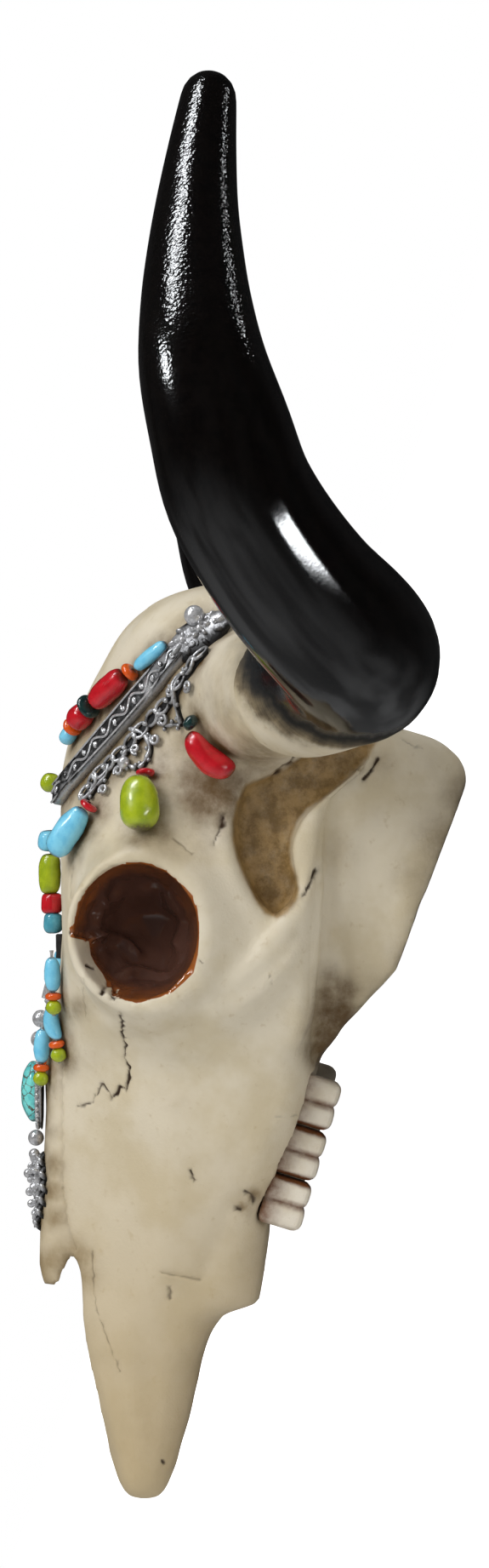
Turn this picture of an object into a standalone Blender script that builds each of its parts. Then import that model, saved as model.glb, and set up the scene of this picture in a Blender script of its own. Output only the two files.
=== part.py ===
"""Decorated cow skull: a cast skull with horns, teeth, bead strands, chains and a pendant.

It is drawn upright in millimetres, snout down and face towards -Y, then laid on its flat back.
"""

import math

import bmesh
import bpy
from mathutils import Matrix, Vector
from mathutils.bvhtree import BVHTree

MM = 0.001
GAP = 0.3

# The flat cut at the back: a point on it at the top, and how far it leans from the vertical
BACK_TOP = Vector((0.0, 57.6, 0.0))
BACK_LEAN = math.radians(20.0)

# Head cross-sections from the poll down to the snout:
# height, front, back, half width, where it is widest, roundness in front and at the back
HEAD = [
    (54.0, -7.0, 5.0, 20.0, -2.0, 2.4, 2.4),
    (51.2, -18.5, 11.0, 32.0, -5.0, 2.3, 2.3),
    (45.0, -29.3, 17.0, 40.0, -4.0, 2.1, 2.4),
    (36.0, -36.5, 24.0, 43.0, -2.0, 2.0, 2.6),
    (24.0, -42.5, 32.0, 44.5, 0.0, 2.0, 2.8),
    (10.0, -48.0, 36.0, 45.0, -2.0, 2.0, 3.0),
    (-5.0, -50.2, 32.0, 46.5, -8.0, 2.2, 3.0),
    (-20.0, -49.6, 27.0, 48.5, -14.0, 3.0, 3.0),
    (-38.0, -48.7, 24.0, 49.5, -16.0, 3.8, 3.0),
    (-52.0, -49.6, 22.0, 47.5, -14.0, 2.8, 3.0),
    (-64.0, -51.5, 21.0, 44.5, -8.0, 1.9, 3.0),
    (-76.0, -51.8, 19.5, 41.0, 2.0, 1.7, 3.4),
    (-92.0, -51.8, 15.0, 38.0, 0.0, 1.7, 3.6),
    (-106.0, -51.0, 9.5, 33.5, -5.0, 1.7, 3.4),
    (-118.0, -50.0, 7.5, 29.0, -8.0, 1.8, 3.2),
    (-130.0, -48.0, 6.0, 25.0, -10.0, 2.1, 3.2),
    (-138.5, -46.0, 4.8, 23.0, -14.0, 2.6, 3.6),
    (-141.5, -45.0, -5.0, 21.5, -20.0, 3.0, 3.4),
    (-152.0, -43.2, -11.0, 20.5, -26.0, 3.2, 3.2),
    (-164.0, -40.0, -13.2, 20.0, -27.0, 3.2, 3.2),
    (-176.0, -37.0, -16.4, 20.5, -27.0, 3.2, 3.0),
    (-186.0, -34.4, -19.4, 19.5, -27.0, 3.0, 3.0),
    (-190.5, -32.8, -21.0, 16.5, -27.0, 2.8, 2.8),
]

# The two nasal bones as one shape: height, front, half width, depth
NASAL = [
    (-50.0, -49.8, 7.0, 5.0),
    (-60.0, -52.8, 12.0, 9.0),
    (-90.0, -53.9, 13.0, 12.0),
    (-112.0, -54.7, 12.0, 12.5),
    (-124.0, -55.7, 10.8, 13.5),
    (-131.0, -56.0, 9.6, 13.5),
    (-136.0, -55.5, 8.0, 12.0),
]

# The notch between the free nasal tips and the snout, seen from the side as back and height
NASAL_NOTCH = [
    (-45.9, -122.5), (-43.4, -130.0), (-42.8, -141.0), (-60.0, -142.0), (-60.0, -137.0), (-49.5, -135.8),
    (-48.4, -129.5),
]

# The cheek plate in front of the braincase block, seen from the side as back and height
CHEEK = [
    (-6.0, 12.0), (22.0, 14.0), (34.5, 11.0), (33.5, 6.5), (24.4, -2.0), (21.2, -8.5), (20.3, -26.0),
    (19.4, -37.0), (18.6, -61.0), (10.0, -72.0), (-20.0, -70.0), (-30.0, -30.0), (-24.0, 4.0),
]
# Half widths of the cheek plate, and the height at which it is widest
CHEEK_TOP = 44.5
CHEEK_MIDDLE = 48.0
CHEEK_BOTTOM = 43.0
CHEEK_WIDEST = -38.0
CHEEK_CENTRE = Vector((0.0, 2.0, -28.0))

# Braincase block behind the cheek, seen from the side as back and height, with its half widths top and bottom
BLOCK = [
    (22.0, 14.0), (33.0, 15.5), (40.0, 15.6), (45.5, 13.5), (51.5, 10.5), (57.6, 5.5),
    (57.6, -4.0), (41.5, -47.0), (30.5, -59.5), (25.5, -63.5), (24.2, -69.5), (20.0, -69.5),
    (12.0, -60.0), (10.0, -20.0),
]
BLOCK_HALF_TOP = 44.0
BLOCK_HALF_BOTTOM = 27.0

# Temple hollow, seen from the side as back and height
TEMPLE = [
    (9.6, 3.5), (0.2, -0.2), (-3.3, -9.8), (-2.0, -19.1), (2.4, -29.3), (8.2, -34.5),
    (13.5, -30.1), (13.5, -23.7), (11.7, -16.9), (13.5, -9.8), (19.8, -4.1), (28.7, 3.5),
    (34.0, 10.9), (24.4, 10.0), (12.6, 7.0),
]
TEMPLE_FLOOR = 38.5

ORBIT_CENTRE = Vector((51.0, -27.7, -37.7))
ORBIT_HALF_WIDE = 16.3
ORBIT_HALF_TALL = 17.6
ORBIT_DEPTH = 25.0
ORBIT_TURN = math.radians(10.0)
# The mound round the orbit: how far out along its axis, how much larger than the hole, and how far back
ORBIT_MOUND = [
    (-22.0, 12.0, 7.0), (-14.0, 11.0, 6.5), (-7.0, 8.0, 4.5), (-2.0, 5.0, 2.0), (1.0, 3.8, 1.0),
    (2.0, 2.4, 0.4), (2.0, 0.5, 0.0),
]

# Horn centre line and radius from the head to the tip
HORN = [
    (44.0, 2.2, 22.5, 17.6), (60.0, 8.6, 23.2, 17.0), (77.0, 15.6, 24.0, 17.4),
    (97.0, 22.8, 26.6, 18.2), (113.0, 27.3, 29.2, 19.3), (125.5, 23.4, 34.5, 19.3),
    (134.5, 14.4, 43.5, 18.2), (142.0, 5.0, 55.0, 17.3), (147.5, -2.3, 66.5, 16.7),
    (150.0, -5.7, 79.5, 16.0), (148.0, -9.4, 94.5, 14.8), (142.5, -11.0, 109.0, 12.9),
    (136.5, -11.3, 122.0, 11.2), (130.0, -11.0, 134.5, 9.6), (124.0, -9.9, 148.0, 8.1),
    (118.0, -8.5, 161.0, 6.7),
]
HORN_TIP = 7.0
HORN_JOINT = 2

# Cheek teeth: the row along the gum, seen from the side, and one tooth's size
TOOTH_ROW_START = Vector((0.0, 18.7, -76.4))
TOOTH_ROW_END = Vector((0.0, 6.9, -116.0))
TOOTH_ROW_X = 24.0
TOOTH_LONG = 13.4
TOOTH_WIDE = 9.0
TOOTH_SUNK = 4.0
TOOTH_TALL = 7.8 + TOOTH_SUNK
TEETH_NAMES = ["back", "middle", "front"]

# Where the side view shows the middle of each ornament on the left side, as back and height
BAR = [(-17.4, 33.7), (-25.0, 25.0), (-33.0, 16.0), (-41.5, 6.5), (-50.6, -3.0)]
STRAND = [(-20.6, 36.6), (-28.6, 30.2), (-36.5, 23.0), (-43.0, 17.5), (-48.8, 10.5), (-50.8, 6.0)]
CHAIN = [
    (-12.2, 32.5), (-16.5, 28.5), (-19.0, 24.0), (-23.0, 18.2), (-28.4, 12.3), (-34.5, 6.4), (-39.5, 1.3),
    (-42.8, -3.0),
]
BAR_WIDE = 6.4
BAR_THICK = 3.2
CHAIN_HALF = 1.5

# Ornaments on the middle line start in front of the face and are set down on the bone
FRONT = Vector((0.0, -1.0, 0.0))
UP = Vector((0.0, 0.0, 1.0))
FRONT_Y = -58.0
SETTING_THICK = 1.3

SKULL_TRIANGLES = 3250
REMESH_STEP = 1.4

BONE = ("bone", (0.72, 0.62, 0.44), 0.55, 0.0)
HORN_BLACK = ("horn_black", (0.012, 0.011, 0.011), 0.12, 0.0)
TOOTH = ("tooth", (0.62, 0.52, 0.36), 0.45, 0.0)
SILVER = ("antique_silver", (0.42, 0.42, 0.42), 0.32, 1.0)
SKY_BLUE = ("bead_sky_blue", (0.12, 0.47, 0.78), 0.15, 0.0)
RED = ("bead_red", (0.55, 0.015, 0.03), 0.15, 0.0)
LIME = ("bead_lime", (0.33, 0.42, 0.02), 0.15, 0.0)
ORANGE = ("bead_orange", (0.75, 0.14, 0.01), 0.18, 0.0)
DARK_GREEN = ("bead_dark_green", (0.01, 0.04, 0.035), 0.18, 0.0)
TEAL = ("bead_teal", (0.05, 0.32, 0.42), 0.15, 0.0)
TURQUOISE = ("turquoise", (0.06, 0.5, 0.52), 0.3, 0.0)
BLACK = ("strap_black", (0.02, 0.018, 0.016), 0.5, 0.0)


def clear_scene():
    for obj in list(bpy.data.objects):
        bpy.data.objects.remove(obj, do_unlink=True)


def material(spec):
    name, colour, roughness, metallic = spec
    found = bpy.data.materials.get(name)
    if found:
        return found
    made = bpy.data.materials.new(name)
    made.use_nodes = True
    shader = made.node_tree.nodes["Principled BSDF"]
    shader.inputs["Base Color"].default_value = (*colour, 1.0)
    shader.inputs["Roughness"].default_value = roughness
    shader.inputs["Metallic"].default_value = metallic
    return made


def add_object(name, points, faces, spec=None):
    """Makes a mesh object from points in millimetres."""
    mesh = bpy.data.meshes.new(name)
    mesh.from_pydata([Vector(p) * MM for p in points], [], faces)
    obj = bpy.data.objects.new(name, mesh)
    bpy.context.scene.collection.objects.link(obj)
    if spec:
        mesh.materials.append(material(spec))
    face_outwards(obj)
    return obj


def face_outwards(obj):
    shell = bmesh.new()
    shell.from_mesh(obj.data)
    bmesh.ops.recalc_face_normals(shell, faces=shell.faces)
    shell.to_mesh(obj.data)
    shell.free()


def shade_smooth(obj):
    obj.data.polygons.foreach_set("use_smooth", [True] * len(obj.data.polygons))


def loft(name, rings, spec=None):
    """Joins rings of equal length into one closed body."""
    count = len(rings[0])
    points = [p for ring in rings for p in ring]
    faces = [list(range(count)), list(range(len(points) - count, len(points)))]
    for k in range(len(rings) - 1):
        for i in range(count):
            j = (i + 1) % count
            a = k * count
            faces.append((a + i, a + j, a + count + j, a + count + i))
    return add_object(name, points, faces, spec)


def curve_points(points, steps):
    """Catmull-Rom points through rows of numbers, steps to each stretch."""
    rows = [Vector(p) for p in points]
    ends = [rows[0] * 2 - rows[1]] + rows + [rows[-1] * 2 - rows[-2]]
    found = []
    for k in range(len(rows) - 1):
        a, b, c, d = ends[k:k + 4]
        for s in range(steps):
            t = s / steps
            found.append(
                b + (c - a) * (t / 2) + (a * 2 - b * 5 + c * 4 - d) * (t * t / 2)
                + (b * 3 - a - c * 3 + d) * (t * t * t / 2)
            )
    found.append(rows[-1])
    return found


def signed_power(value, power):
    return math.copysign(abs(value) ** power, value)


def head_ring(height, front, back, half, widest, round_front, round_back, count=48):
    ring = []
    for i in range(count):
        turn = math.tau * i / count
        side, fore = math.cos(turn), math.sin(turn)
        power = 2 / (round_front if fore > 0 else round_back)
        depth = widest - front if fore > 0 else back - widest
        ring.append((half * signed_power(side, power), widest - depth * signed_power(fore, power), height))
    return ring


def frame_along(points, first_side):
    """A side and an up direction at each point of a path, turned as little as possible."""
    found = []
    side = Vector(first_side)
    for k, point in enumerate(points):
        ahead = points[min(k + 1, len(points) - 1)] - points[max(k - 1, 0)]
        ahead.normalize()
        side = (side - ahead * side.dot(ahead)).normalized()
        found.append((side.copy(), ahead.cross(side)))
    return found


def tube(name, path, radii, sides, spec=None, flat=1.0, first_side=(0, 0, 1)):
    """A closed tube along a path. Its height is the radius and its width the radius times flat."""
    points = [Vector(p) for p in path]
    rings = []
    for point, radius, (side, up) in zip(points, radii, frame_along(points, first_side)):
        turns = [math.tau * i / sides for i in range(sides)]
        wide, tall = side * radius, up * (radius * flat)
        rings.append([point + wide * math.cos(t) + tall * math.sin(t) for t in turns])
    return loft(name, rings, spec)


def ellipsoid(name, centre, radii, turn=None, rings=12, sides=24, spec=None):
    points = []
    for k in range(rings + 1):
        polar = math.pi * (k + 0.5) / (rings + 1)
        for i in range(sides):
            around = math.tau * i / sides
            point = Vector((
                radii[0] * math.sin(polar) * math.cos(around),
                radii[1] * math.sin(polar) * math.sin(around),
                radii[2] * math.cos(polar),
            ))
            points.append(Vector(centre) + (turn @ point if turn else point))
    return loft(name, [points[k * sides:(k + 1) * sides] for k in range(rings + 1)], spec)


def prism(name, outline, from_x, to_x):
    """A side outline, given as back and height, carried from one x to another."""
    return loft(name, [[(x, y, z) for y, z in outline] for x in (from_x, to_x)])


def mirrored(obj, name):
    """A copy of an object on the other side of the middle plane."""
    copy = bpy.data.objects.new(name, obj.data.copy())
    bpy.context.scene.collection.objects.link(copy)
    copy.data.transform(obj.matrix_basis)
    copy.data.transform(Matrix.Scale(-1, 4, (1, 0, 0)))
    copy.data.flip_normals()
    return copy


def use(obj, modifier_type, **settings):
    """Adds one modifier and applies it."""
    modifier = obj.modifiers.new(modifier_type, modifier_type)
    for key, value in settings.items():
        setattr(modifier, key, value)
    graph = bpy.context.evaluated_depsgraph_get()
    done = bpy.data.meshes.new_from_object(obj.evaluated_get(graph))
    obj.modifiers.clear()
    old = obj.data
    obj.data = done
    bpy.data.meshes.remove(old)


def cut(obj, cutters):
    for cutter in cutters:
        use(obj, "BOOLEAN", object=cutter, operation="DIFFERENCE", solver="EXACT")
        bpy.data.objects.remove(cutter, do_unlink=True)


def join(name, parts):
    """Puts several closed bodies into one mesh, for the voxel remesh to make one body of."""
    whole = bmesh.new()
    for part in parts:
        whole.from_mesh(part.data)
        bpy.data.objects.remove(part, do_unlink=True)
    mesh = bpy.data.meshes.new(name)
    whole.to_mesh(mesh)
    whole.free()
    obj = bpy.data.objects.new(name, mesh)
    bpy.context.scene.collection.objects.link(obj)
    return obj


def both_sides(make):
    left = make()
    return [left, mirrored(left, left.name + "_far")]


def orbit_turn():
    return Matrix.Rotation(-ORBIT_TURN, 3, "Z")


def orbit_mound():
    rings = []
    turns = [math.tau * i / 32 for i in range(32)]
    for out, wider, back in ORBIT_MOUND:
        wide, tall = ORBIT_HALF_WIDE + wider, ORBIT_HALF_TALL + wider
        rings.append([
            ORBIT_CENTRE + orbit_turn() @ Vector((out, back + wide * math.cos(t), tall * math.sin(t)))
            for t in turns
        ])
    return loft("mound", rings)


def orbit_hollow():
    deep = ORBIT_CENTRE + orbit_turn() @ Vector((1.0, 0, 0))
    return ellipsoid("hollow", deep, (ORBIT_DEPTH, ORBIT_HALF_WIDE, ORBIT_HALF_TALL), orbit_turn())


def nasal_bones():
    rings = []
    for height, front, half, depth in curve_points(NASAL, 3):
        turns = [math.tau * i / 24 for i in range(24)]
        rings.append([(half * math.cos(t), front + depth / 2 * (1 - math.sin(t)), height) for t in turns])
    return loft("nasal", rings)


def nasal_notch():
    return prism("notch", NASAL_NOTCH, -40.0, 40.0)


def nasal_split():
    """The gap that parts the two nasal tips."""
    return ellipsoid("split", (0.0, -56.0, -138.0), (1.6, 6.0, 12.0), rings=8, sides=16)


def cheek_half_width(height):
    """Widest at the orbit, narrower above and below."""
    above = max((height - CHEEK_WIDEST) / 50.0, 0.0)
    below = max((CHEEK_WIDEST - height) / 33.0, 0.0)
    return CHEEK_MIDDLE + (CHEEK_TOP - CHEEK_MIDDLE) * above + (CHEEK_BOTTOM - CHEEK_MIDDLE) * below


def cheek_body():
    """The cheek plate, its outline drawn in a little at both faces."""
    rings = []
    for side, shrink in ((-1.0, 0.93), (-0.93, 1.0), (0.93, 1.0), (1.0, 0.93)):
        ring = []
        for back, height in CHEEK:
            point = CHEEK_CENTRE + (Vector((0.0, back, height)) - CHEEK_CENTRE) * shrink
            point.x = side * cheek_half_width(height)
            ring.append(point)
        rings.append(ring)
    return loft("cheek", rings)


def block_body():
    """The braincase, narrower towards the bottom."""
    rings = []
    for side in (-1, 1):
        ring = []
        for back, height in BLOCK:
            share = (15.0 - height) / 85.0
            half = BLOCK_HALF_TOP + (BLOCK_HALF_BOTTOM - BLOCK_HALF_TOP) * share
            ring.append((side * half, back, height))
        rings.append(ring)
    return loft("block", rings)


def cheek_ridge():
    """The ridge that runs from under the orbit up to the cheek arch."""
    path = [
        (36.0, -20.0, -66.0), (42.0, -10.0, -62.0), (46.0, -1.0, -55.0), (47.5, 8.0, -45.0),
        (44.0, 15.0, -33.0),
    ]
    return tube("ridge", curve_points(path, 3), [5.0] * 13, 10)


def horn_core():
    rows = curve_points(HORN[:HORN_JOINT + 1], 1)
    path = [Vector((18.0, -6.0, 20.0, 22.0)), Vector((32.0, -2.0, 20.8, 20.5))] + rows
    path.append(rows[-1] + (rows[-1] - rows[-2]) * 0.3)
    return tube("core", [Vector(p[:3]) for p in path], [p[3] for p in path], 28)


def snout_opening():
    """The nose opening, which starts under the nasal tips."""
    path = [
        (0, -44.0, -108.0), (0, -44.5, -126.0), (0, -44.0, -142.0), (0, -42.0, -162.0), (0, -38.5, -178.0),
    ]
    radii = [3, 5, 6.5, 7.5, 8.5, 9.5, 10, 10.5, 10.5, 10, 9, 8, 6]
    return tube("nose", curve_points(path, 3), radii, 16, first_side=(1, 0, 0))


def snout_slot():
    return ellipsoid("slot", (0, -30.0, -192.0), (1.8, 14.0, 14.0), rings=8, sides=16)


def palate_vault():
    path = [(0, 22.0, -70.0), (0, 17.0, -90.0), (0, 10.0, -112.0), (0, 6.0, -132.0), (0, -6.0, -150.0)]
    radii = [15, 15, 15, 15, 15, 15, 14, 13, 12, 11, 10, 9, 7]
    return tube("vault", curve_points(path, 3), radii, 16, flat=0.5, first_side=(1, 0, 0))


def choana():
    return ellipsoid("choana", (0, 20.0, -66.0), (13.0, 13.0, 9.0))


def foramen():
    """The spinal opening in the flat back."""
    return ellipsoid("foramen", BACK_TOP + Vector((0, -9.5, -29.0)), (9.0, 9.0, 10.0))


def temple_hollow():
    return prism("temple", TEMPLE, TEMPLE_FLOOR, 70.0)


def slab(name, point, outward, half=160.0, thick=120.0):
    """A block that removes all that lies past a plane."""
    turn = Vector(outward).to_track_quat("Z", "Y").to_matrix()
    corners = [(-half, -half), (half, -half), (half, half), (-half, half)]
    rings = [[Vector(point) + turn @ Vector((a, b, z)) for a, b in corners] for z in (0, thick)]
    return loft(name, rings)


def back_cut():
    return slab("back_cut", BACK_TOP, (0, math.cos(BACK_LEAN), -math.sin(BACK_LEAN)))


def horn_path():
    """The horn's centre line and radii past the joint, closed with a round tip."""
    rows = [Vector(row) for row in HORN[HORN_JOINT:]]
    last = rows[-1]
    ahead = (rows[-1] - rows[-2]).normalized()
    for share in (0.45, 0.8, 0.98):
        tip = last + ahead * (HORN_TIP * share)
        tip[3] = last[3] * math.sqrt(1 - share * share)
        rows.append(tip)
    return rows


def joint_plane():
    middle = Vector(HORN[HORN_JOINT][:3])
    ahead = Vector(HORN[HORN_JOINT + 1][:3]) - middle
    return middle, ahead.normalized()


def make_horn():
    rows = horn_path()
    middle, ahead = joint_plane()
    start = rows[0].copy()
    start.xyz = middle + ahead * GAP
    rows[0] = start
    return tube("horn_left", [Vector(r[:3]) for r in rows], [r[3] for r in rows], 14, HORN_BLACK)


def tooth_frame():
    """Along the row, and out of the gum."""
    along = (TOOTH_ROW_END - TOOTH_ROW_START).normalized()
    out = Vector((0, -along.z, along.y))
    return along, out


def tooth_rings(grow):
    """A molar's rings from root to crown, with a groove between its two lobes."""
    rings = []
    half_long = TOOTH_LONG / 2 - GAP / 2 + grow
    half_wide = TOOTH_WIDE / 2 + grow
    for share, taper in ((0.0, 0.9), (0.4, 0.98), (0.75, 1.0), (1.0, 0.94)):
        height = -TOOTH_SUNK - grow + (TOOTH_TALL + grow) * share
        groove = 0.0 if grow else 0.9
        ring = [
            (-half_long, -half_wide + 0.8), (-half_long * 0.55, -half_wide), (0.0, -half_wide + groove),
            (half_long * 0.55, -half_wide), (half_long, -half_wide + 0.8), (half_long, half_wide - 0.8),
            (half_long * 0.55, half_wide), (0.0, half_wide - groove), (-half_long * 0.55, half_wide),
            (-half_long, half_wide - 0.8),
        ]
        rings.append([(a * (1 if grow else taper ** 0.3), b * taper, height) for a, b in ring])
    return rings


def tooth(name, index, grow=0.0, spec=None):
    along, out = tooth_frame()
    middle = TOOTH_ROW_START.lerp(TOOTH_ROW_END, (index + 0.5) / 3)
    middle.x = TOOTH_ROW_X
    rings = []
    for ring in tooth_rings(grow):
        rings.append([middle + along * a + Vector((1, 0, 0)) * b + out * c for a, b, c in ring])
    return loft(name, rings, spec)


def make_skull():
    parts = [loft("head", [head_ring(*row) for row in curve_points(HEAD, 3)])]
    parts += [block_body(), cheek_body(), nasal_bones()]
    for make in (cheek_ridge, horn_core, orbit_mound):
        parts += both_sides(make)
    skull = join("skull", parts)
    use(skull, "REMESH", mode="VOXEL", voxel_size=REMESH_STEP * MM)
    use(skull, "SMOOTH", factor=0.5, iterations=10)
    cutters = [snout_opening(), snout_slot(), nasal_notch(), nasal_split()]
    cutters += [palate_vault(), choana(), foramen()]
    for make in (orbit_hollow, temple_hollow):
        cutters += both_sides(make)
    cut(skull, cutters)
    use(skull, "REMESH", mode="VOXEL", voxel_size=REMESH_STEP * MM)
    use(skull, "SMOOTH", factor=0.5, iterations=2)
    halve_and_thin(skull)
    middle, ahead = joint_plane()
    ends = [back_cut()] + both_sides(lambda: small_slab(middle, ahead))
    for index in range(3):
        ends += both_sides(lambda: tooth("socket", index, grow=GAP))
    cut(skull, ends)
    tidy_mesh(skull)
    skull.data.materials.clear()
    skull.data.materials.append(material(BONE))
    shade_smooth(skull)
    return skull


def small_slab(middle, ahead):
    return slab("joint_cut", middle, ahead, half=26.0, thick=30.0)


def halve_and_thin(obj):
    """Keeps the left half, thins its mesh and mirrors it, so that both sides are alike."""
    half = bmesh.new()
    half.from_mesh(obj.data)
    geometry = half.verts[:] + half.edges[:] + half.faces[:]
    bmesh.ops.bisect_plane(half, geom=geometry, plane_co=(0, 0, 0), plane_no=(-1, 0, 0), clear_outer=True)
    half.to_mesh(obj.data)
    half.free()
    faces = sum(len(p.vertices) - 2 for p in obj.data.polygons)
    use(obj, "DECIMATE", ratio=SKULL_TRIANGLES / 2 / faces)
    half = bmesh.new()
    half.from_mesh(obj.data)
    for vert in half.verts:
        if vert.is_boundary:
            vert.co.x = 0.0
    half.to_mesh(obj.data)
    half.free()
    use(obj, "MIRROR", merge_threshold=0.00001)


def tidy_mesh(obj):
    clean = bmesh.new()
    clean.from_mesh(obj.data)
    bmesh.ops.dissolve_degenerate(clean, edges=clean.edges, dist=0.00002)
    bmesh.ops.triangulate(clean, faces=clean.faces)
    clean.to_mesh(obj.data)
    clean.free()


def make_horns_and_teeth():
    horn = make_horn()
    shade_smooth(horn)
    mirrored(horn, "horn_right")
    for index, name in enumerate(TEETH_NAMES):
        left = tooth(f"tooth_{name}_left", index, spec=TOOTH)
        mirrored(left, f"tooth_{name}_right")


class Bone:
    """Finds places on the finished skull and sets ornaments down on it."""

    def __init__(self, skull):
        self.tree = BVHTree.FromPolygons(
            [v.co / MM for v in skull.data.vertices], [tuple(p.vertices) for p in skull.data.polygons]
        )

    def place(self, near):
        """The point of the bone nearest to a place, and the direction away from the bone there."""
        point, normal, _, _ = self.tree.find_nearest(Vector(near))
        return point, normal

    def seen(self, back, height, lift):
        """Where something this far off the bone lies, to be seen at a place in the side view."""
        guess = Vector((0.0, back, height))
        for _ in range(12):
            eye = Vector((200.0, guess.y, guess.z))
            point, normal, _, _ = self.tree.ray_cast(eye, Vector((-1, 0, 0)))
            if point is None:
                point, normal = self.place((3.0, guess.y, guess.z))
            miss = Vector((0.0, back, height)) - (point + normal * lift)
            guess += Vector((0.0, miss.y, miss.z)) * 0.6
        return point, normal

    def clearance(self, point):
        nearest, normal, _, distance = self.tree.find_nearest(point)
        return distance if (point - nearest).dot(normal) > 0 else -distance

    def set_down(self, obj, outward):
        """Moves an object along a direction until it just clears the bone."""
        outward = Vector(outward).normalized()
        for _ in range(8):
            turn = obj.matrix_basis.to_3x3()
            at = obj.location / MM
            least = min(self.clearance(at + turn @ (v.co / MM)) for v in obj.data.vertices)
            obj.location += outward * ((GAP - least) * MM)
            if abs(GAP - least) < 0.01:
                break


def turn_to(axis, side=None):
    """A rotation that takes Z to an axis and, where given, X towards a side."""
    axis = Vector(axis).normalized()
    side = Vector(side) if side else axis.orthogonal()
    side = (side - axis * side.dot(axis)).normalized()
    return Matrix((side, axis.cross(side), axis)).transposed()


def turned(name, profile, centre, axis, spec, sides=8):
    """A bead turned about its axis. The profile lists a place along the axis and a radius."""
    rings = []
    for along, radius in profile:
        rings.append([
            (radius * math.cos(math.tau * i / sides), radius * math.sin(math.tau * i / sides), along)
            for i in range(sides)
        ])
    bead = loft(name, rings, spec)
    bead.location = Vector(centre) * MM
    bead.rotation_euler = turn_to(axis).to_euler()
    shade_smooth(bead)
    bpy.context.view_layer.update()
    return bead


def barrel(length, radius, end=0.55):
    """A bead profile with rounded ends."""
    half = length / 2
    return [
        (-half, radius * end), (-half * 0.62, radius * 0.95), (0.0, radius), (half * 0.62, radius * 0.95),
        (half, radius * end),
    ]


def ring_bead(length, radius):
    half = length / 2
    return [(-half, radius * 0.65), (-half * 0.3, radius), (half * 0.3, radius), (half, radius * 0.65)]


def drop(length, top, bottom):
    """A pear-shaped profile, narrow at its top."""
    half = length / 2
    return [
        (half, top * 0.55), (half * 0.7, top), (half * 0.1, (top + bottom) / 2), (-half * 0.4, bottom),
        (-half * 0.8, bottom * 0.75), (-half, bottom * 0.35),
    ]


def pair(left):
    """Makes the right-hand twin of an ornament on the left."""
    return mirrored(left, left.name.replace("_left", "_right"))


def surface_path(bone, points, lift, steps=2):
    """Places just off the bone along a curve in the side view, each with its outward direction."""
    found = []
    for back, height in curve_points(points, steps):
        point, normal = bone.seen(back, height, lift)
        found.append((point + normal * lift, normal))
    return smooth_places(found)


def smooth_places(places):
    """Evens out a path and its directions, so that what follows it has no sharp bend or twist."""
    found = []
    for k, (point, normal) in enumerate(places):
        near = places[max(k - 1, 0):k + 2]
        middle = sum((p for p, _ in near), Vector()) / len(near)
        total = sum((n for _, n in places[max(k - 2, 0):k + 3]), Vector())
        found.append((point if len(near) < 3 else middle, total.normalized()))
    return found


def strip(name, places, half_wide, half_thick, spec):
    """A flat bar with bevelled edges that follows places on the bone."""
    bevel = min(half_wide, half_thick) * 0.35
    profile = [
        (-half_wide, -half_thick), (half_wide, -half_thick), (half_wide, half_thick - bevel),
        (half_wide - bevel, half_thick), (-half_wide + bevel, half_thick), (-half_wide, half_thick - bevel),
    ]
    rings = []
    for k, (point, normal) in enumerate(places):
        ahead = (places[min(k + 1, len(places) - 1)][0] - places[max(k - 1, 0)][0]).normalized()
        side = ahead.cross(normal).normalized()
        rings.append([point + side * a + normal * b for a, b in profile])
    return loft(name, rings, spec)


def make_bar(bone):
    places = surface_path(bone, BAR, BAR_THICK / 2 + GAP)
    bar = strip("silver_bar_left", places, BAR_WIDE / 2, BAR_THICK / 2, SILVER)
    middle = places[len(places) // 2][1]
    bone.set_down(bar, middle)
    pair(bar)


def make_chain(bone):
    places = surface_path(bone, CHAIN, CHAIN_HALF + GAP)
    chain = tube("chain_left", [p for p, _ in places], [CHAIN_HALF] * len(places), 6, SILVER)
    bone.set_down(chain, places[len(places) // 2][1])
    pair(chain)


STRAND_BEADS = [
    ("blue_long", 11.5, 1.9, SKY_BLUE), ("orange", 2.6, 2.6, ORANGE), ("red_long", 13.5, 3.1, RED),
    ("dark_green", 2.6, 3.4, DARK_GREEN), ("red_short", 6.5, 3.0, RED), ("orange_lower", 2.4, 2.7, ORANGE),
    ("blue_short", 5.0, 2.2, SKY_BLUE),
]


def make_strand(bone):
    places = surface_path(bone, STRAND, 2.6, steps=6)
    start = 0.0
    for name, length, radius, spec in STRAND_BEADS:
        head, tail = along_path(places, start), along_path(places, start + length)
        start += length + GAP
        axis = tail[0] - head[0]
        middle = (head[0] + tail[0]) / 2
        profile = ring_bead(length, radius) if length < 3.0 else barrel(length, radius)
        bead = turned(f"strand_{name}_left", profile, middle, axis, spec)
        bone.set_down(bead, head[1] + tail[1])
        pair(bead)


def along_path(places, distance):
    """The place at a distance along a path, going straight on past its end."""
    for (a, normal_a), (b, normal_b) in zip(places, places[1:]):
        step = (b - a).length
        if distance <= step:
            return a.lerp(b, distance / step), normal_a.lerp(normal_b, distance / step)
        distance -= step
    a, b = places[-2][0], places[-1][0]
    return b + (b - a).normalized() * distance, places[-1][1]


# Drops on the chain: place seen from the side, upward direction, length, radius at top and bottom
DROPS = [
    ("red", (-9.3, 7.0), (0.0, -0.77, 0.64), (15.4, 3.2, 3.9), RED),
    ("green", (-24.2, -5.2), (0.0, -0.24, 0.97), (14.4, 4.2, 5.2), LIME),
    ("blue", (-46.0, -12.3), (0.25, 0.5, 0.83), (14.8, 3.1, 3.8), SKY_BLUE),
]
# The spacer ring above each drop: name, length, radius
SPACERS = [
    ("ring_dark_green_left", 2.2, 1.7, DARK_GREEN), ("ring_red_green_left", 2.0, 2.5, RED),
    ("ring_red_blue_left", 2.0, 2.5, RED),
]


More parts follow.
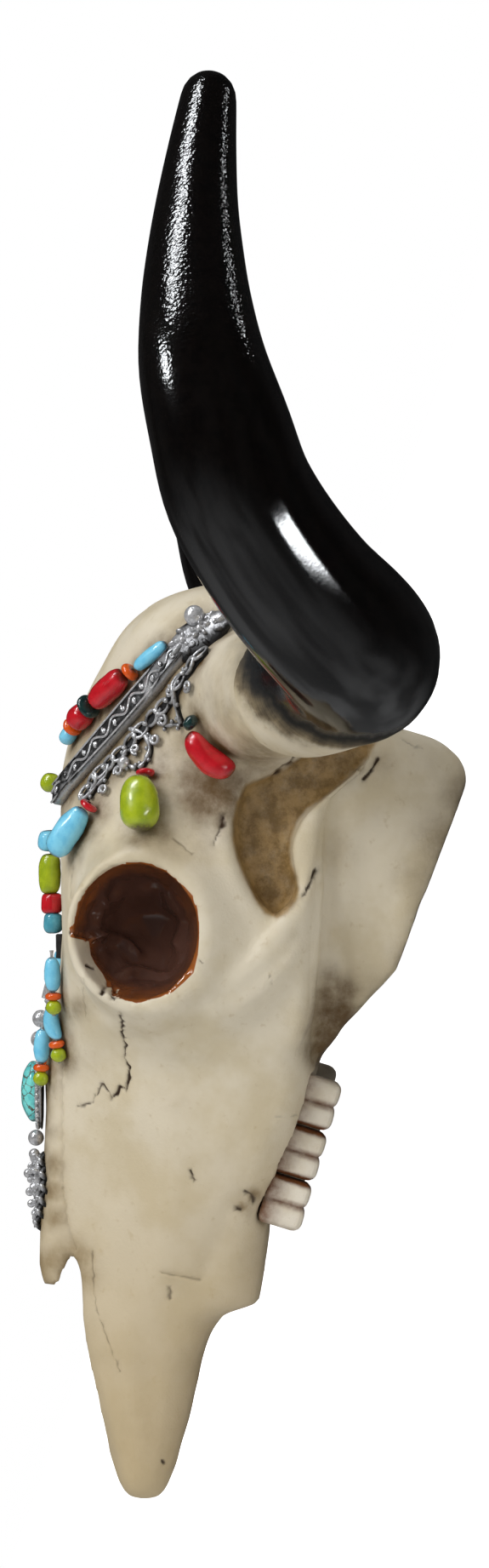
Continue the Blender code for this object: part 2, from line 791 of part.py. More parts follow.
def make_drops(bone):
    for (name, (back, height), up, shape, spec), spacer in zip(DROPS, SPACERS):
        length, _, bottom = shape
        point, normal = bone.seen(back, height, bottom)
        up = Vector(up)
        up = (up - normal * up.dot(normal)).normalized()
        body = turned(f"drop_{name}_left", drop(*shape), point + normal * bottom, up, spec)
        bone.set_down(body, normal)
        ring_name, ring_long, ring_radius, ring_spec = spacer
        above = body.location / MM + up * ((length + ring_long) / 2 + GAP)
        ring = turned(ring_name, ring_bead(ring_long, ring_radius), above, up, ring_spec)
        bone.set_down(ring, normal)
        pair(body)
        pair(ring)


def lobed(name, centre, out, up, half_wide, half_long, thick, lobes, depth, spec, dome=0.5):
    """A flat piece with a lobed edge and a raised middle, its back towards the bone."""
    count = 2 * lobes if lobes else 16
    rings = []
    for share, height in ((0.96, 0.0), (1.0, 0.35), (0.86, 0.62), (dome, 0.95), (dome * 0.4, 1.0)):
        ring = []
        for i in range(count):
            turn = math.tau * i / count
            reach = share * (1 + depth * share * math.cos(lobes * turn))
            across, along = half_wide * math.cos(turn), half_long * math.sin(turn)
            ring.append((reach * across, reach * along, thick * height))
        rings.append(ring)
    piece = loft(name, rings, spec)
    piece.location = Vector(centre) * MM
    out = Vector(out).normalized()
    up = Vector(up)
    up = (up - out * up.dot(out)).normalized()
    piece.rotation_euler = Matrix((up.cross(out), up, out)).transposed().to_euler()
    bpy.context.view_layer.update()
    return piece


def make_rosette(bone):
    point, normal = bone.seen(-12.3, 39.6, 1.5)
    along_head = (0.0, 0.35, -0.9)
    rosette = lobed("rosette_left", point + normal, normal, along_head, 8.2, 5.6, 4.5, 8, 0.1, SILVER)
    bone.set_down(rosette, normal)
    pair(rosette)


COLUMN = [
    ("blue", -12.3, -18.4, 2.9, SKY_BLUE), ("green", -18.9, -29.6, 3.0, LIME),
    ("red", -29.6, -34.9, 2.9, RED), ("teal", -34.9, -40.2, 2.6, TEAL),
]


def make_column(bone):
    ball = turned("centre_green", barrel(5.2, 2.7, end=0.4), (0.0, FRONT_Y, 0.4), UP, LIME)
    bone.set_down(ball, FRONT)
    for name, top, bottom, radius, spec in COLUMN:
        middle = (0.0, FRONT_Y, (top + bottom) / 2)
        bead = turned(f"column_{name}", barrel(top - bottom - GAP, radius), middle, UP, spec)
        bone.set_down(bead, FRONT)
    places = [(Vector((0, FRONT_Y, z)), FRONT) for z in (-40.6, -43.5, -47.0)]
    strap = strip("strap", places, 2.4, 0.8, BLACK)
    bone.set_down(strap, FRONT)


DANGLES = [
    ("outer", (20.5, -47.5, -53.0), (0.05, -0.06, 1.0)),
    ("middle", (14.5, -49.5, -66.0), (0.1, -0.2, 1.0)),
    ("inner", (8.8, -53.5, -73.0), (-0.05, 0.3, 1.0)),
]
# One dangle from its bottom up: ball, ring, long bead
DANGLE = [
    (-7.8, 0.8), (-6.6, 1.9), (-5.2, 1.9), (-3.9, 0.9), (-3.5, 1.9), (-2.5, 1.9), (-2.0, 1.1),
    (0.6, 2.1), (4.8, 2.0), (7.4, 0.8),
]


def make_dangles(bone):
    for name, near, up in DANGLES:
        point, normal = bone.place(near)
        up = Vector(up)
        up = (up - normal * up.dot(normal)).normalized()
        dangle = turned(f"dangle_{name}_left", DANGLE, point + normal * 2.6, up, SKY_BLUE, sides=6)
        bone.set_down(dangle, normal)
        pair(dangle)


def silver_ball(bone, name, height, diameter):
    ball = turned(name, barrel(diameter, diameter / 2, end=0.4), (0, FRONT_Y, height), UP, SILVER)
    bone.set_down(ball, FRONT)


def make_pendant(bone):
    silver_ball(bone, "silver_ball_1", -63.4, 3.9)
    silver_ball(bone, "silver_ball_2", -69.0, 3.9)
    place = (0, FRONT_Y, -83.6)
    setting = lobed("stone_setting", place, FRONT, UP, 6.8, 10.2, SETTING_THICK, 0, 0.0, SILVER, 0.84)
    bone.set_down(setting, FRONT)
    above = setting.location / MM + FRONT * (SETTING_THICK + GAP) + UP * 0.6
    lobed("turquoise_stone", above, FRONT, UP, 5.6, 8.6, 4.2, 0, 0.0, TURQUOISE, 0.55)
    silver_ball(bone, "silver_knob", -95.6, 3.6)
    place = (0, FRONT_Y, -108.2)
    blossom = lobed("silver_blossom", place, FRONT, UP, 7.2, 10.2, 4.2, 6, 0.14, SILVER, 0.4)
    bone.set_down(blossom, FRONT)


def lay_down():
    """Turns the model onto its flat back, with the ground at zero and the middle of its box at zero."""
    layout = bpy.data.objects.new("layout", None)
    bpy.context.scene.collection.objects.link(layout)
    pieces = [obj for obj in bpy.context.scene.objects if obj.type == "MESH"]
    for obj in pieces:
        obj.parent = layout
    layout.rotation_euler = (BACK_LEAN - math.pi / 2, 0.0, 0.0)
    bpy.context.view_layer.update()
    corners = [obj.matrix_world @ vert.co for obj in pieces for vert in obj.data.vertices]
    ys = [c.y for c in corners]
    layout.location = (0.0, -(min(ys) + max(ys)) / 2, -min(c.z for c in corners))


def main():
    clear_scene()
    skull = make_skull()
    make_horns_and_teeth()
    bone = Bone(skull)
    for make in (make_bar, make_chain, make_strand, make_drops, make_rosette):
        make(bone)
    make_column(bone)
    make_dangles(bone)
    make_pendant(bone)
    lay_down()


main()
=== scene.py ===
"""Looks of the decorated cow skull: bone, horns, teeth, glazed beads, silverwork, stone and strap.

Pieces are laid out with the skull upright, in millimetres, and turned onto the flat back at the end.
"""

import math

import bpy
import numpy as np
from mathutils import Matrix, Vector, noise
from mathutils.bvhtree import BVHTree


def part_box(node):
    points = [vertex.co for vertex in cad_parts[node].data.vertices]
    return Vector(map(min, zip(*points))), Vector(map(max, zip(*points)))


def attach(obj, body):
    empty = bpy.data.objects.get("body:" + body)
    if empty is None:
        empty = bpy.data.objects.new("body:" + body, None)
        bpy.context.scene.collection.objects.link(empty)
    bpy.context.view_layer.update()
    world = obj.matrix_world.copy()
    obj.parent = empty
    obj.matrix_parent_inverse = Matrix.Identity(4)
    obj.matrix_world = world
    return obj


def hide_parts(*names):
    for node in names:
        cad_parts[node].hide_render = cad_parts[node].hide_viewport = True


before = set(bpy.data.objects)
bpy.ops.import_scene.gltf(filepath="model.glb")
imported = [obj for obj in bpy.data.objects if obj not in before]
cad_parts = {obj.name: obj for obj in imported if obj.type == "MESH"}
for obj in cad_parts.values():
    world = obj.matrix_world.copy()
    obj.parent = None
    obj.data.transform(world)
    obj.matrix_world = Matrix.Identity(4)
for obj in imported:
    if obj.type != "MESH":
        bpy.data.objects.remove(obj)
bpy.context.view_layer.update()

MM = 0.001
BOTH = ("left", "right")

# Ways on the upright skull
FRONT = Vector((0.0, -1.0, 0.0))
UP = Vector((0.0, 0.0, 1.0))

# How the upright skull lies in the frame
LAID_AT = Vector((0.0, 0.017128, 0.054126))
LAID_TURN = math.radians(-70.0)
LAID = Matrix.Translation(LAID_AT) @ Matrix.Rotation(LAID_TURN, 4, "X") @ Matrix.Scale(MM, 4)
STAND = LAID.inverted()

# The side view: the eye, the millimetres of a picture point in the middle plane, the origin's picture point
EYE = Vector((910.0, 0.0, 0.0))
POINT = 0.23
MIDDLE_U = 288.0
MIDDLE_V = 921.0

LENS = 77.3
SENSOR = 36.0
WORLD_LIGHT = 0.6

# Horn centre line and radius past the bone core, as in the solid
HORN = [
    (64.0, 10.2, 23.4, 15.6), (72.0, 13.6, 23.8, 17.2), (80.0, 16.8, 24.3, 17.75),
    (97.0, 22.8, 26.6, 18.3), (113.0, 27.3, 29.2, 19.3), (125.5, 23.4, 34.5, 19.3),
    (134.5, 14.2, 43.5, 18.4), (142.0, 5.2, 55.0, 17.7), (147.5, -1.5, 66.5, 17.2),
    (150.0, -5.4, 79.5, 16.3), (148.0, -9.4, 94.5, 14.8), (142.5, -11.0, 109.0, 12.9),
    (136.5, -11.3, 122.0, 11.2), (130.0, -11.0, 134.5, 9.6), (124.0, -9.9, 148.0, 8.1),
    (118.0, -8.5, 161.0, 6.7),
]
HORN_TIP = 7.0

# Size of the cells that the bone is remeshed with, and how far up the flat back stays as cut
BONE_STEP = 1.28
BACK_FLAT = 1.0

# Half width of the nasal opening, painted dark inside as shade in the hollow with brown wash, and the picture
# rows where it begins and ends
NOSE_HALF = 8.2
NOSE_TOP = 1455
NOSE_END = 1720

# How far from the middle plane each painted hollow and the cracks begin
SOCKET_SIDE = 20.0
WALL_SIDE = 15.0
TEMPLE_SIDE = 24.0
CRACK_SIDE = 8.0

# Outline of the painted eye socket in the side view, as picture points
SOCKET = [
    (82, 1090), (92, 1081), (98, 1069), (107, 1049), (118, 1031), (133, 1019), (152, 1015), (170, 1018),
    (187, 1028), (209, 1047), (224, 1066), (231, 1085), (234, 1104), (233, 1122), (228, 1143),
    (217, 1154), (203, 1166), (187, 1172), (170, 1173), (152, 1166), (140, 1161), (129, 1160),
    (121, 1144), (112, 1132), (107, 1122), (105, 1106), (83, 1101),
]

# Middle of the socket, how far its painted wall reaches, and the bare flange left of and below a point
SOCKET_MIDDLE = (170, 1095)
SOCKET_REACH = 84
FLANGE = (132, 1100)

# Outline of the brown temple hollow
TEMPLE = [
    (332, 905), (289, 922), (279, 943), (273, 966), (274, 987), (279, 1009), (289, 1034), (299, 1056),
    (311, 1073), (326, 1080), (338, 1075), (350, 1060), (353, 1044), (350, 1030), (344, 1015),
    (342, 999), (344, 983), (350, 966), (362, 950), (379, 940), (399, 924), (420, 905), (436, 887),
    (444, 871), (400, 873), (360, 885),
]

# Cracks, sutures and pits in the side view: width and depth in millimetres, darkness, their picture points
CRACKS = [
    (0.4, 0.5, 0.95, [
        (141, 1190), (144, 1203), (144, 1215), (148, 1229), (146, 1243), (152, 1254), (152, 1273),
    ]),
    (0.5, 0.7, 1.0, [
        (152, 1266), (149, 1280), (141, 1277), (137, 1286), (131, 1290), (126, 1281), (120, 1273),
    ]),
    (0.35, 0.4, 0.75, [(120, 1273), (116, 1283), (112, 1288), (108, 1296), (97, 1298), (91, 1300)]),
    (0.5, 0.5, 0.28, [(73, 1250), (73, 1330), (75, 1400), (80, 1440), (88, 1468)]),
    (0.35, 0.35, 0.5, [(108, 1470), (110, 1515), (114, 1540), (125, 1572), (141, 1612)]),
    (0.9, 1.2, 1.0, [(136, 1163), (134, 1174)]),
    (0.6, 0.8, 1.0, [(127, 1157), (119, 1168)]),
    (0.45, 0.5, 0.9, [(103, 1134), (111, 1138)]),
    (0.5, 0.6, 0.9, [(82, 1096), (95, 1098), (106, 1101)]),
    (0.35, 0.25, 0.35, [(99, 1150), (98, 1163), (101, 1195)]),
    (0.35, 0.25, 0.35, [(86, 1020), (83, 1040), (83, 1056)]),
    (0.55, 0.7, 1.0, [(446, 891), (440, 899), (436, 906), (429, 915)]),
    (0.6, 0.7, 0.9, [(374, 1020), (369, 1032), (364, 1042), (355, 1054)]),
    (0.7, 0.7, 0.9, [(349, 888), (344, 896), (334, 901), (322, 912)]),
    (1.0, 1.1, 1.0, [(263, 961), (261, 970)]),
    (0.4, 0.4, 0.7, [(259, 972), (254, 985), (251, 997)]),
    (0.6, 0.6, 0.85, [(225, 1376), (227, 1384), (231, 1387)]),
    (0.7, 0.6, 0.75, [(289, 1400), (298, 1404), (301, 1413)]),
    (0.6, 0.5, 0.8, [(278, 1420), (284, 1422)]),
    (0.5, 0.4, 0.45, [(190, 1496), (212, 1500), (235, 1504)]),
    (0.5, 0.4, 0.6, [(200, 1513), (201, 1526)]),
    (0.5, 0.35, 0.8, [(192, 1716), (194, 1719)]),
    (0.3, 0.3, 0.5, [(146, 740), (154, 734), (160, 731)]),
    (0.3, 0.25, 0.5, [(172, 717), (178, 713), (184, 712)]),
    (0.45, 0.4, 0.8, [(234, 1128), (239, 1132)]),
    (0.35, 0.3, 0.5, [(318, 1146), (322, 1156)]),
    (0.4, 0.3, 0.4, [(322, 1313), (350, 1311)]),
    (0.3, 0.3, 0.45, [(470, 868), (486, 876), (498, 879)]),
    (0.35, 0.3, 0.4, [(345, 935), (362, 926), (380, 905)]),
    (0.4, 0.35, 0.5, [(205, 985), (218, 995), (226, 1003)]),
]

# Soft ridges and hollows in the side view: half width in picture points, height in millimetres, their line
SWELLS = [
    (15, 1.5, [(352, 1066), (330, 1090), (308, 1120), (286, 1148), (252, 1184)]),
    (12, -1.1, [(352, 1100), (322, 1134), (292, 1156), (268, 1172)]),
    (9, 0.7, [(372, 962), (356, 985), (352, 1010), (360, 1036), (358, 1058)]),
    (10, 0.8, [(262, 950), (263, 990), (272, 1020), (288, 1055), (308, 1082)]),
    (13, -1.5, [
        (446, 884), (400, 934), (390, 960), (383, 1015), (376, 1073), (372, 1147), (377, 1196), (379, 1238),
    ]),
    (18, 0.9, [(420, 930), (408, 960), (402, 1015), (400, 1080)]),
    (14, 0.7, [(350, 1160), (352, 1200), (346, 1260), (334, 1310)]),
    (9, -0.8, [(438, 1190), (410, 1160), (404, 1120)]),
    (12, 0.7, [(135, 1200), (170, 1206), (205, 1192), (236, 1160)]),
    (20, -0.8, [(110, 1262), (120, 1330), (130, 1400)]),
    (22, 0.8, [(200, 1300), (205, 1400), (196, 1500)]),
    (14, -0.6, [(285, 1400), (262, 1440), (240, 1500)]),
    (16, 0.5, [(150, 1560), (160, 1640), (165, 1700)]),
    (12, -0.5, [(128, 1600), (140, 1660), (150, 1720)]),
    (14, 0.6, [(205, 950), (180, 985), (140, 1000)]),
    (16, 0.7, [(150, 735), (180, 750), (205, 800)]),
    (5, 2.4, [(100, 1104), (122, 1097), (146, 1106), (160, 1122)]),
    (4, 1.6, [(140, 1146), (165, 1140), (196, 1146)]),
    (6, 1.6, [(196, 1050), (212, 1080), (210, 1110)]),
    (12, -0.6, [(235, 800), (240, 840), (238, 880)]),
    (10, 0.5, [(490, 880), (515, 920), (500, 990), (470, 1080)]),
]

# Where brown is painted on the bone: rubbed-in wash, and painted shade in recesses, along creases and where
# the surface turns away; picture point, reach in picture points, strength
WASH_AND_SHADE = [
    (252, 925, 60, 0.85), (225, 905, 40, 0.6), (190, 900, 40, 0.5), (215, 975, 42, 0.34),
    (262, 838, 44, 0.4), (300, 890, 44, 0.6), (225, 880, 40, 0.5), (150, 880, 60, 0.5),
    (60, 1400, 18, 0.72), (62, 1480, 20, 0.7), (90, 1185, 20, 0.5), (500, 905, 40, 0.2),
    (395, 1225, 26, 1.0), (386, 1170, 20, 0.8), (430, 1165, 40, 0.34), (165, 1690, 80, 0.36),
    (225, 1600, 40, 0.3), (150, 1600, 70, 0.24), (110, 1560, 30, 0.25), (60, 1330, 14, 0.5),
    (300, 1480, 40, 0.25), (240, 1560, 30, 0.3), (95, 1250, 26, 0.25), (330, 1230, 60, 0.12),
    (420, 905, 30, 0.3), (360, 1100, 30, 0.12), (545, 935, 34, 0.55), (520, 985, 40, 0.5),
    (492, 1030, 36, 0.35), (388, 1150, 22, 0.6), (400, 1000, 34, 0.3), (440, 960, 30, 0.2),
    (318, 1395, 16, 0.35), (290, 1415, 22, 0.45), (205, 1290, 40, 0.22), (150, 1340, 60, 0.12),
    (98, 1500, 26, 0.6), (75, 1495, 22, 0.45), (60, 1470, 20, 0.3), (450, 900, 26, 0.35),
    (205, 835, 22, 0.3), (70, 1360, 16, 0.3), (330, 1205, 40, 0.15), (120, 1580, 24, 0.2),
    (470, 1120, 24, 0.3), (440, 1170, 30, 0.35), (240, 815, 60, 0.36), (275, 830, 40, 0.3),
    (258, 870, 24, 0.4), (190, 985, 36, 0.45), (240, 985, 30, 0.35), (120, 940, 40, 0.3),
    (110, 1000, 30, 0.3), (85, 1480, 30, 0.8), (395, 1195, 34, 1.0), (380, 1235, 26, 1.0),
    (404, 1165, 26, 0.7), (62, 1370, 18, 0.7), (62, 1430, 20, 0.7), (385, 1215, 30, 0.9),
    (300, 1405, 12, 0.8), (285, 1418, 9, 0.8), (198, 1500, 16, 0.3), (340, 1100, 20, 0.15),
]

# The paths of the silver in the side view, as picture points
BAR = [(212, 765), (176, 806), (140, 848), (103, 891), (68, 933)]
BAND = [
    (241, 762), (226, 778), (208, 803), (198, 822), (183, 839), (165, 858), (150, 876), (133, 893),
    (119, 905), (107, 921), (98, 935),
]
SWAGS = [
    ([(222, 784), (209, 797), (206, 815), (207, 832), (213, 850)], 0.5),
    ([(190, 832), (184, 846), (194, 853), (206, 851), (212, 853)], 0.45),
    ([(153, 856), (170, 862), (177, 879), (171, 894), (164, 902)], 0.6),
    ([(150, 880), (143, 893), (152, 899), (160, 903)], 0.55),
    ([(128, 898), (125, 912), (112, 925), (104, 936)], 0.5),
]

# Middles of the loose curls between bar and drops, with their reach in millimetres
SCROLLS = [
    (221, 806, 1.6), (200, 812, 1.5), (192, 846, 1.7), (183, 868, 1.6), (160, 880, 1.5),
    (140, 906, 1.6), (122, 928, 1.5),
]

# Picture points of the chain's middle ball, of the rosette and of the ball above it
CHAIN_BALL = (146, 896)
ROSETTE_AT = (235, 748)
ROSETTE_BALL = (229, 723)


def deselect():
    if bpy.context.object and bpy.context.object.mode != "OBJECT":
        bpy.ops.object.mode_set(mode="OBJECT")
    bpy.ops.object.select_all(action="DESELECT")


def take(piece):
    """Makes one piece the only selected one."""
    deselect()
    piece.select_set(True)
    bpy.context.view_layer.objects.active = piece


def apply_modifier(piece, kind, **settings):
    take(piece)
    modifier = piece.modifiers.new(kind, kind)
    for key, value in settings.items():
        setattr(modifier, key, value)
    bpy.ops.object.modifier_apply(modifier=modifier.name)


def join(pieces, name):
    deselect()
    for piece in pieces:
        piece.select_set(True)
    bpy.context.view_layer.objects.active = pieces[0]
    if len(pieces) > 1:
        bpy.ops.object.join()
    whole = bpy.context.object
    whole.name = name
    return whole


def copy_of(piece, name):
    twin = bpy.data.objects.new(name, piece.data.copy())
    bpy.context.scene.collection.objects.link(twin)
    return twin


def edit(piece):
    """Opens one piece for editing, with all of it selected."""
    take(piece)
    bpy.ops.object.mode_set(mode="EDIT")
    bpy.ops.mesh.select_all(action="SELECT")


def close():
    bpy.ops.object.mode_set(mode="OBJECT")


def upright_copy(node, name):
    """A merged copy of a CAD node, stood upright in millimetres."""
    twin = copy_of(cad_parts[node], name)
    twin.data.transform(STAND)
    twin.data.materials.clear()
    edit(twin)
    bpy.ops.mesh.remove_doubles(threshold=0.01)
    bpy.ops.mesh.tris_convert_to_quads(face_threshold=0.35, shape_threshold=0.7)
    close()
    return twin


def round_off(piece, levels, **settings):
    apply_modifier(piece, "SUBSURF", levels=levels, render_levels=levels, **settings)


def put(piece, place, turn=Matrix.Identity(3)):
    """Turns a piece about the origin and moves it to its place."""
    piece.data.transform(Matrix.Translation(place) @ turn.to_4x4())


def stored(piece, name):
    found = np.zeros(len(piece.data.vertices) * 3)
    piece.data.vertices.foreach_get(name, found)
    return found.reshape(-1, 3)


def corners_of(piece):
    return stored(piece, "co")


def normals_of(piece):
    return stored(piece, "normal")


def set_corners(piece, places):
    piece.data.vertices.foreach_set("co", places.ravel())
    piece.data.update()


def push(piece, amounts):
    """Moves each corner out by its own amount."""
    set_corners(piece, corners_of(piece) + normals_of(piece) * amounts[:, None])


def lumps(places, size, seed=0.0):
    """Noise from -1 to 1 at each place."""
    shift = Vector((seed, seed, seed))
    return np.array([noise.noise(Vector(p) / size + shift) for p in places])


def roughen(piece, size, reach, seed=0.0):
    """Moves each corner in or out a little, for the uneven surface of a casting."""
    push(piece, lumps(corners_of(piece), size, seed) * reach)


def ramp(values, start, length):
    """Rises from 0 to 1 over a length."""
    return np.clip((values - start) / length, 0.0, 1.0)


def mound(distance, reach):
    """Falls softly from 1 as the distance grows."""
    return np.exp(-((distance / reach) ** 2))


def paint(piece, name, values):
    """Stores a painted value at each corner of the mesh."""
    layer = piece.data.attributes.get(name) or piece.data.attributes.new(name, "FLOAT", "POINT")
    layer.data.foreach_set("value", np.asarray(values, dtype=np.float32))


def smooth(piece):
    piece.data.polygons.foreach_set("use_smooth", [True] * len(piece.data.polygons))


def settle(piece, finish, nodes=()):
    """Turns a finished piece into place, gives it its material and ties it to the part."""
    material, slot = finish
    piece.data.transform(LAID)
    piece.matrix_world = Matrix.Identity(4)
    piece.data.materials.clear()
    piece.data.materials.append(material)
    smooth(piece)
    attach(piece, "root")
    if nodes:
        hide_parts(*nodes)


def mirror_twin(piece, name):
    """The right-hand twin of a piece on the left, its faces turned outwards again."""
    twin = copy_of(piece, name)
    twin.data.transform(Matrix.Scale(-1, 4, (1, 0, 0)))
    twin.data.flip_normals()
    return twin


def settle_pair(piece, finish, nodes=()):
    """Settles a left-hand piece and its twin. The nodes are named for the left side."""
    twin = mirror_twin(piece, piece.name.replace("_left", "_right"))
    settle(twin, finish, [n.replace("_left", "_right") for n in nodes])
    settle(piece, finish, nodes)


def picture_places(places):
    """Where points show in the side view, in picture points, both sides seen from their own side."""
    near = EYE.x / (EYE.x - np.abs(places[:, 0]))
    return MIDDLE_U + places[:, 1] * near / POINT, MIDDLE_V - places[:, 2] * near / POINT


def line_distance(u, v, line):
    """Distance from picture places to a line, in picture points."""
    nearest = np.full(len(u), 1e9)
    for (au, av), (bu, bv) in zip(line, line[1:]):
        du, dv = bu - au, bv - av
        along = np.clip(((u - au) * du + (v - av) * dv) / (du * du + dv * dv), 0.0, 1.0)
        nearest = np.minimum(nearest, np.hypot(u - au - along * du, v - av - along * dv))
    return nearest


def edge_distance(u, v, outline):
    return line_distance(u, v, outline + outline[:1])


def inside(u, v, outline):
    """Whether picture places lie inside an outline."""
    found = np.zeros(len(u), dtype=bool)
    for (au, av), (bu, bv) in zip(outline, outline[1:] + outline[:1]):
        if av == bv:
            continue
        crosses = (av > v) != (bv > v)
        found ^= crosses & (u < au + (bu - au) * (v - av) / (bv - av))
    return found


def curve_through(points, steps):
    """Smooth points through a row of points."""
    rows = [Vector(p) for p in points]
    ends = [rows[0] * 2 - rows[1]] + rows + [rows[-1] * 2 - rows[-2]]
    found = []
    for k in range(len(rows) - 1):
        a, b, c, d = ends[k:k + 4]
        for s in range(steps):
            t = s / steps
            found.append(
                b + (c - a) * (t / 2) + (a * 2 - b * 5 + c * 4 - d) * (t * t / 2)
                + (b * 3 - a - c * 3 + d) * (t * t * t / 2)
            )
    found.append(rows[-1])
    return found


def wire(points, radii, roundness=2, closed=False):
    """A round wire drawn along points, its thickness changing from point to point."""
    deselect()
    bpy.ops.curve.primitive_nurbs_path_add()
    drawn = bpy.context.object
    drawn.data.splines.clear()
    line = drawn.data.splines.new("POLY")
    line.points.add(len(points) - 1)
    for spot, point, radius in zip(line.points, points, radii):
        spot.co = (*point, 1.0)
        spot.radius = radius
    line.use_cyclic_u = closed
    drawn.data.dimensions = "3D"
    drawn.data.bevel_depth = 1.0
    drawn.data.bevel_resolution = roundness
    drawn.data.use_fill_caps = not closed
    bpy.ops.object.convert(target="MESH")
    return bpy.context.object


def ball(centre, radii, segments=20, rings=12, fullness=2.0, shape=None):
    """A sphere drawn out along its axes.

    Fullness above 2 squares it off, and shape widens it along Z.
    """
    deselect()
    bpy.ops.mesh.primitive_uv_sphere_add(segments=segments, ring_count=rings, radius=1.0)
    piece = bpy.context.object
    power = 2.0 / fullness
    for vert in piece.data.vertices:
        x, y, z = vert.co
        flat = math.hypot(x, y)
        wide = flat ** power
        along = math.copysign(abs(z) ** power, z)
        if flat > 1e-6:
            x, y = x / flat * wide, y / flat * wide
        if shape:
            x, y = x * shape(along), y * shape(along)
        vert.co = (x * radii[0], y * radii[1], along * radii[2])
    put(piece, Vector(centre))
    return piece


def round_ball(centre, size, segments=14, rings=10):
    return ball(centre, (size, size, size), segments, rings)


def turn_to(axis, side=None):
    """A rotation that takes Z to an axis and, where given, X towards a side."""
    axis = Vector(axis).normalized()
    side = Vector(side) if side else axis.orthogonal()
    side = (side - axis * side.dot(axis)).normalized()
    return Matrix((side, axis.cross(side), axis)).transposed()


def lie_of(node):
    """A turned CAD bead's middle, axis pointing up, length and radius."""
    found = corners_of(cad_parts[node])
    found = np.array([STAND @ Vector(p) for p in found])
    middle = (found.min(0) + found.max(0)) / 2
    spread, ways = np.linalg.eigh(np.cov((np.unique(found.round(3), axis=0)).T))
    axis = ways[:, 2] if spread[2] - spread[1] > spread[1] - spread[0] else ways[:, 0]
    if axis[2] < 0:
        axis = -axis
    along = (found - middle) @ axis
    middle = middle + axis * (along.min() + along.max()) / 2
    out = found - middle
    out = out - np.outer(out @ axis, axis)
    return Vector(middle), Vector(axis), float(np.ptp(along)), float(np.linalg.norm(out, axis=1).max())



class Surface:
    """A surface to lay ornaments on or to measure from."""

    def __init__(self, points, faces):
        self.tree = BVHTree.FromPolygons(points, faces)

    def nearest(self, place):
        point, normal, _, distance = self.tree.find_nearest(place)
        return point, normal, distance

    def seen(self, u, v, lift):
        """The place this far off the bone that shows at a picture point, and the way out there."""
        aim = Vector((0.0, (u - MIDDLE_U) * POINT, (MIDDLE_V - v) * POINT))
        wanted = aim.copy()
        for _ in range(10):
            point, normal, _, _ = self.tree.ray_cast(EYE, (aim - EYE).normalized())
            if point is None:
                point, normal, _, _ = self.tree.find_nearest(aim + Vector((3.0, 0.0, 0.0)))
            centre = point + normal * lift
            near = EYE.x / (EYE.x - centre.x)
            aim += Vector((0.0, wanted.y - centre.y * near, wanted.z - centre.z * near)) * 0.6
        return centre, normal

    def path(self, points, lift, steps):
        """Even places along a line in the side view, with the way out of the bone at each."""
        flat = curve_through([Vector((u, v, 0.0)) for u, v in points], steps)
        found = [self.seen(p.x, p.y, lift) for p in flat]
        evened = []
        for k, (place, _) in enumerate(found):
            near = found[max(k - 2, 0):k + 3]
            if 1 < k < len(found) - 2:
                place = sum((p for p, _ in near), Vector()) / len(near)
            way = sum((n for _, n in found[max(k - 3, 0):k + 4]), Vector()).normalized()
            evened.append((place, way))
        return evened


# Shader nodes

NUMBER, COLOUR, VECTOR = "NodeSocketFloat", "NodeSocketColor", "NodeSocketVector"


def connect(tree, socket, value):
    """Feeds a socket from another node, or sets its value."""
    if isinstance(value, bpy.types.NodeSocket):
        tree.links.new(value, socket)
    else:
        socket.default_value = value


def add(tree, kind, inputs=None, **settings):
    """Adds a node, sets it up and joins what feeds it."""
    node = tree.nodes.new(kind)
    for key, value in settings.items():
        setattr(node, key, value)
    for key, value in (inputs or {}).items():
        connect(tree, node.inputs[key], value)
    return node


def maths(tree, operation, a, b, clamp=False):
    return add(tree, "ShaderNodeMath", {0: a, 1: b}, operation=operation, use_clamp=clamp).outputs[0]


def plus(tree, a, b):
    return maths(tree, "ADD", a, b)


def times(tree, a, b):
    return maths(tree, "MULTIPLY", a, b)


def swing(tree, value, reach):
    """Noise made to swing either way of zero."""
    return times(tree, maths(tree, "SUBTRACT", value, 0.5), reach)


def vector_maths(tree, operation, a, b):
    return add(tree, "ShaderNodeVectorMath", {0: a, 1: b}, operation=operation).outputs[0]


def spread(tree, value, low, high, to_low=0.0, to_high=1.0):
    """Maps a range softly onto another."""
    inputs = {"Value": value, "From Min": low, "From Max": high, "To Min": to_low, "To Max": to_high}
    return add(tree, "ShaderNodeMapRange", inputs, interpolation_type="SMOOTHSTEP").outputs["Result"]


def blend(tree, share, a, b):
    return add(tree, "ShaderNodeMix", {"Factor": share, 6: a, 7: b}, data_type="RGBA").outputs[2]


def speckle(tree, place, scale, detail=3.0, roughness=0.55):
    inputs = {"Vector": place, "Scale": scale, "Detail": detail, "Roughness": roughness}
    return add(tree, "ShaderNodeTexNoise", inputs).outputs["Fac"]


def new_group(name, takes, gives):
    """An empty shader group, what feeds it and the sockets that it gives."""
    group = bpy.data.node_groups.new(name, "ShaderNodeTree")
    for side, sockets in (("INPUT", takes), ("OUTPUT", gives)):
        for label, kind in sockets.items():
            group.interface.new_socket(label, in_out=side, socket_type=kind)
    return group, group.nodes.new("NodeGroupInput").outputs, group.nodes.new("NodeGroupOutput").inputs


def sized(group, fed):
    """The place divided by the size of the pattern."""
    share = maths(group, "DIVIDE", 1.0, fed["Size"])
    return add(group, "ShaderNodeVectorMath", {0: fed["Place"], "Scale": share}, operation="SCALE").outputs[0]


# How noise is drawn out along and round the horn's root
ALONG_HORN = (0.02, 0.22, 0.22)
ROUND_HORN = (0.7, 0.05, 0.05)

# The horn turns black from one reach out to another, later below a height, along a ragged edge
ROOT_BONE = 60.0
ROOT_BLACK = 106.0
ROOT_HEIGHT = 26.0
ROOT_SLOPE = 1.6
ROOT_RAGGED = 14.0


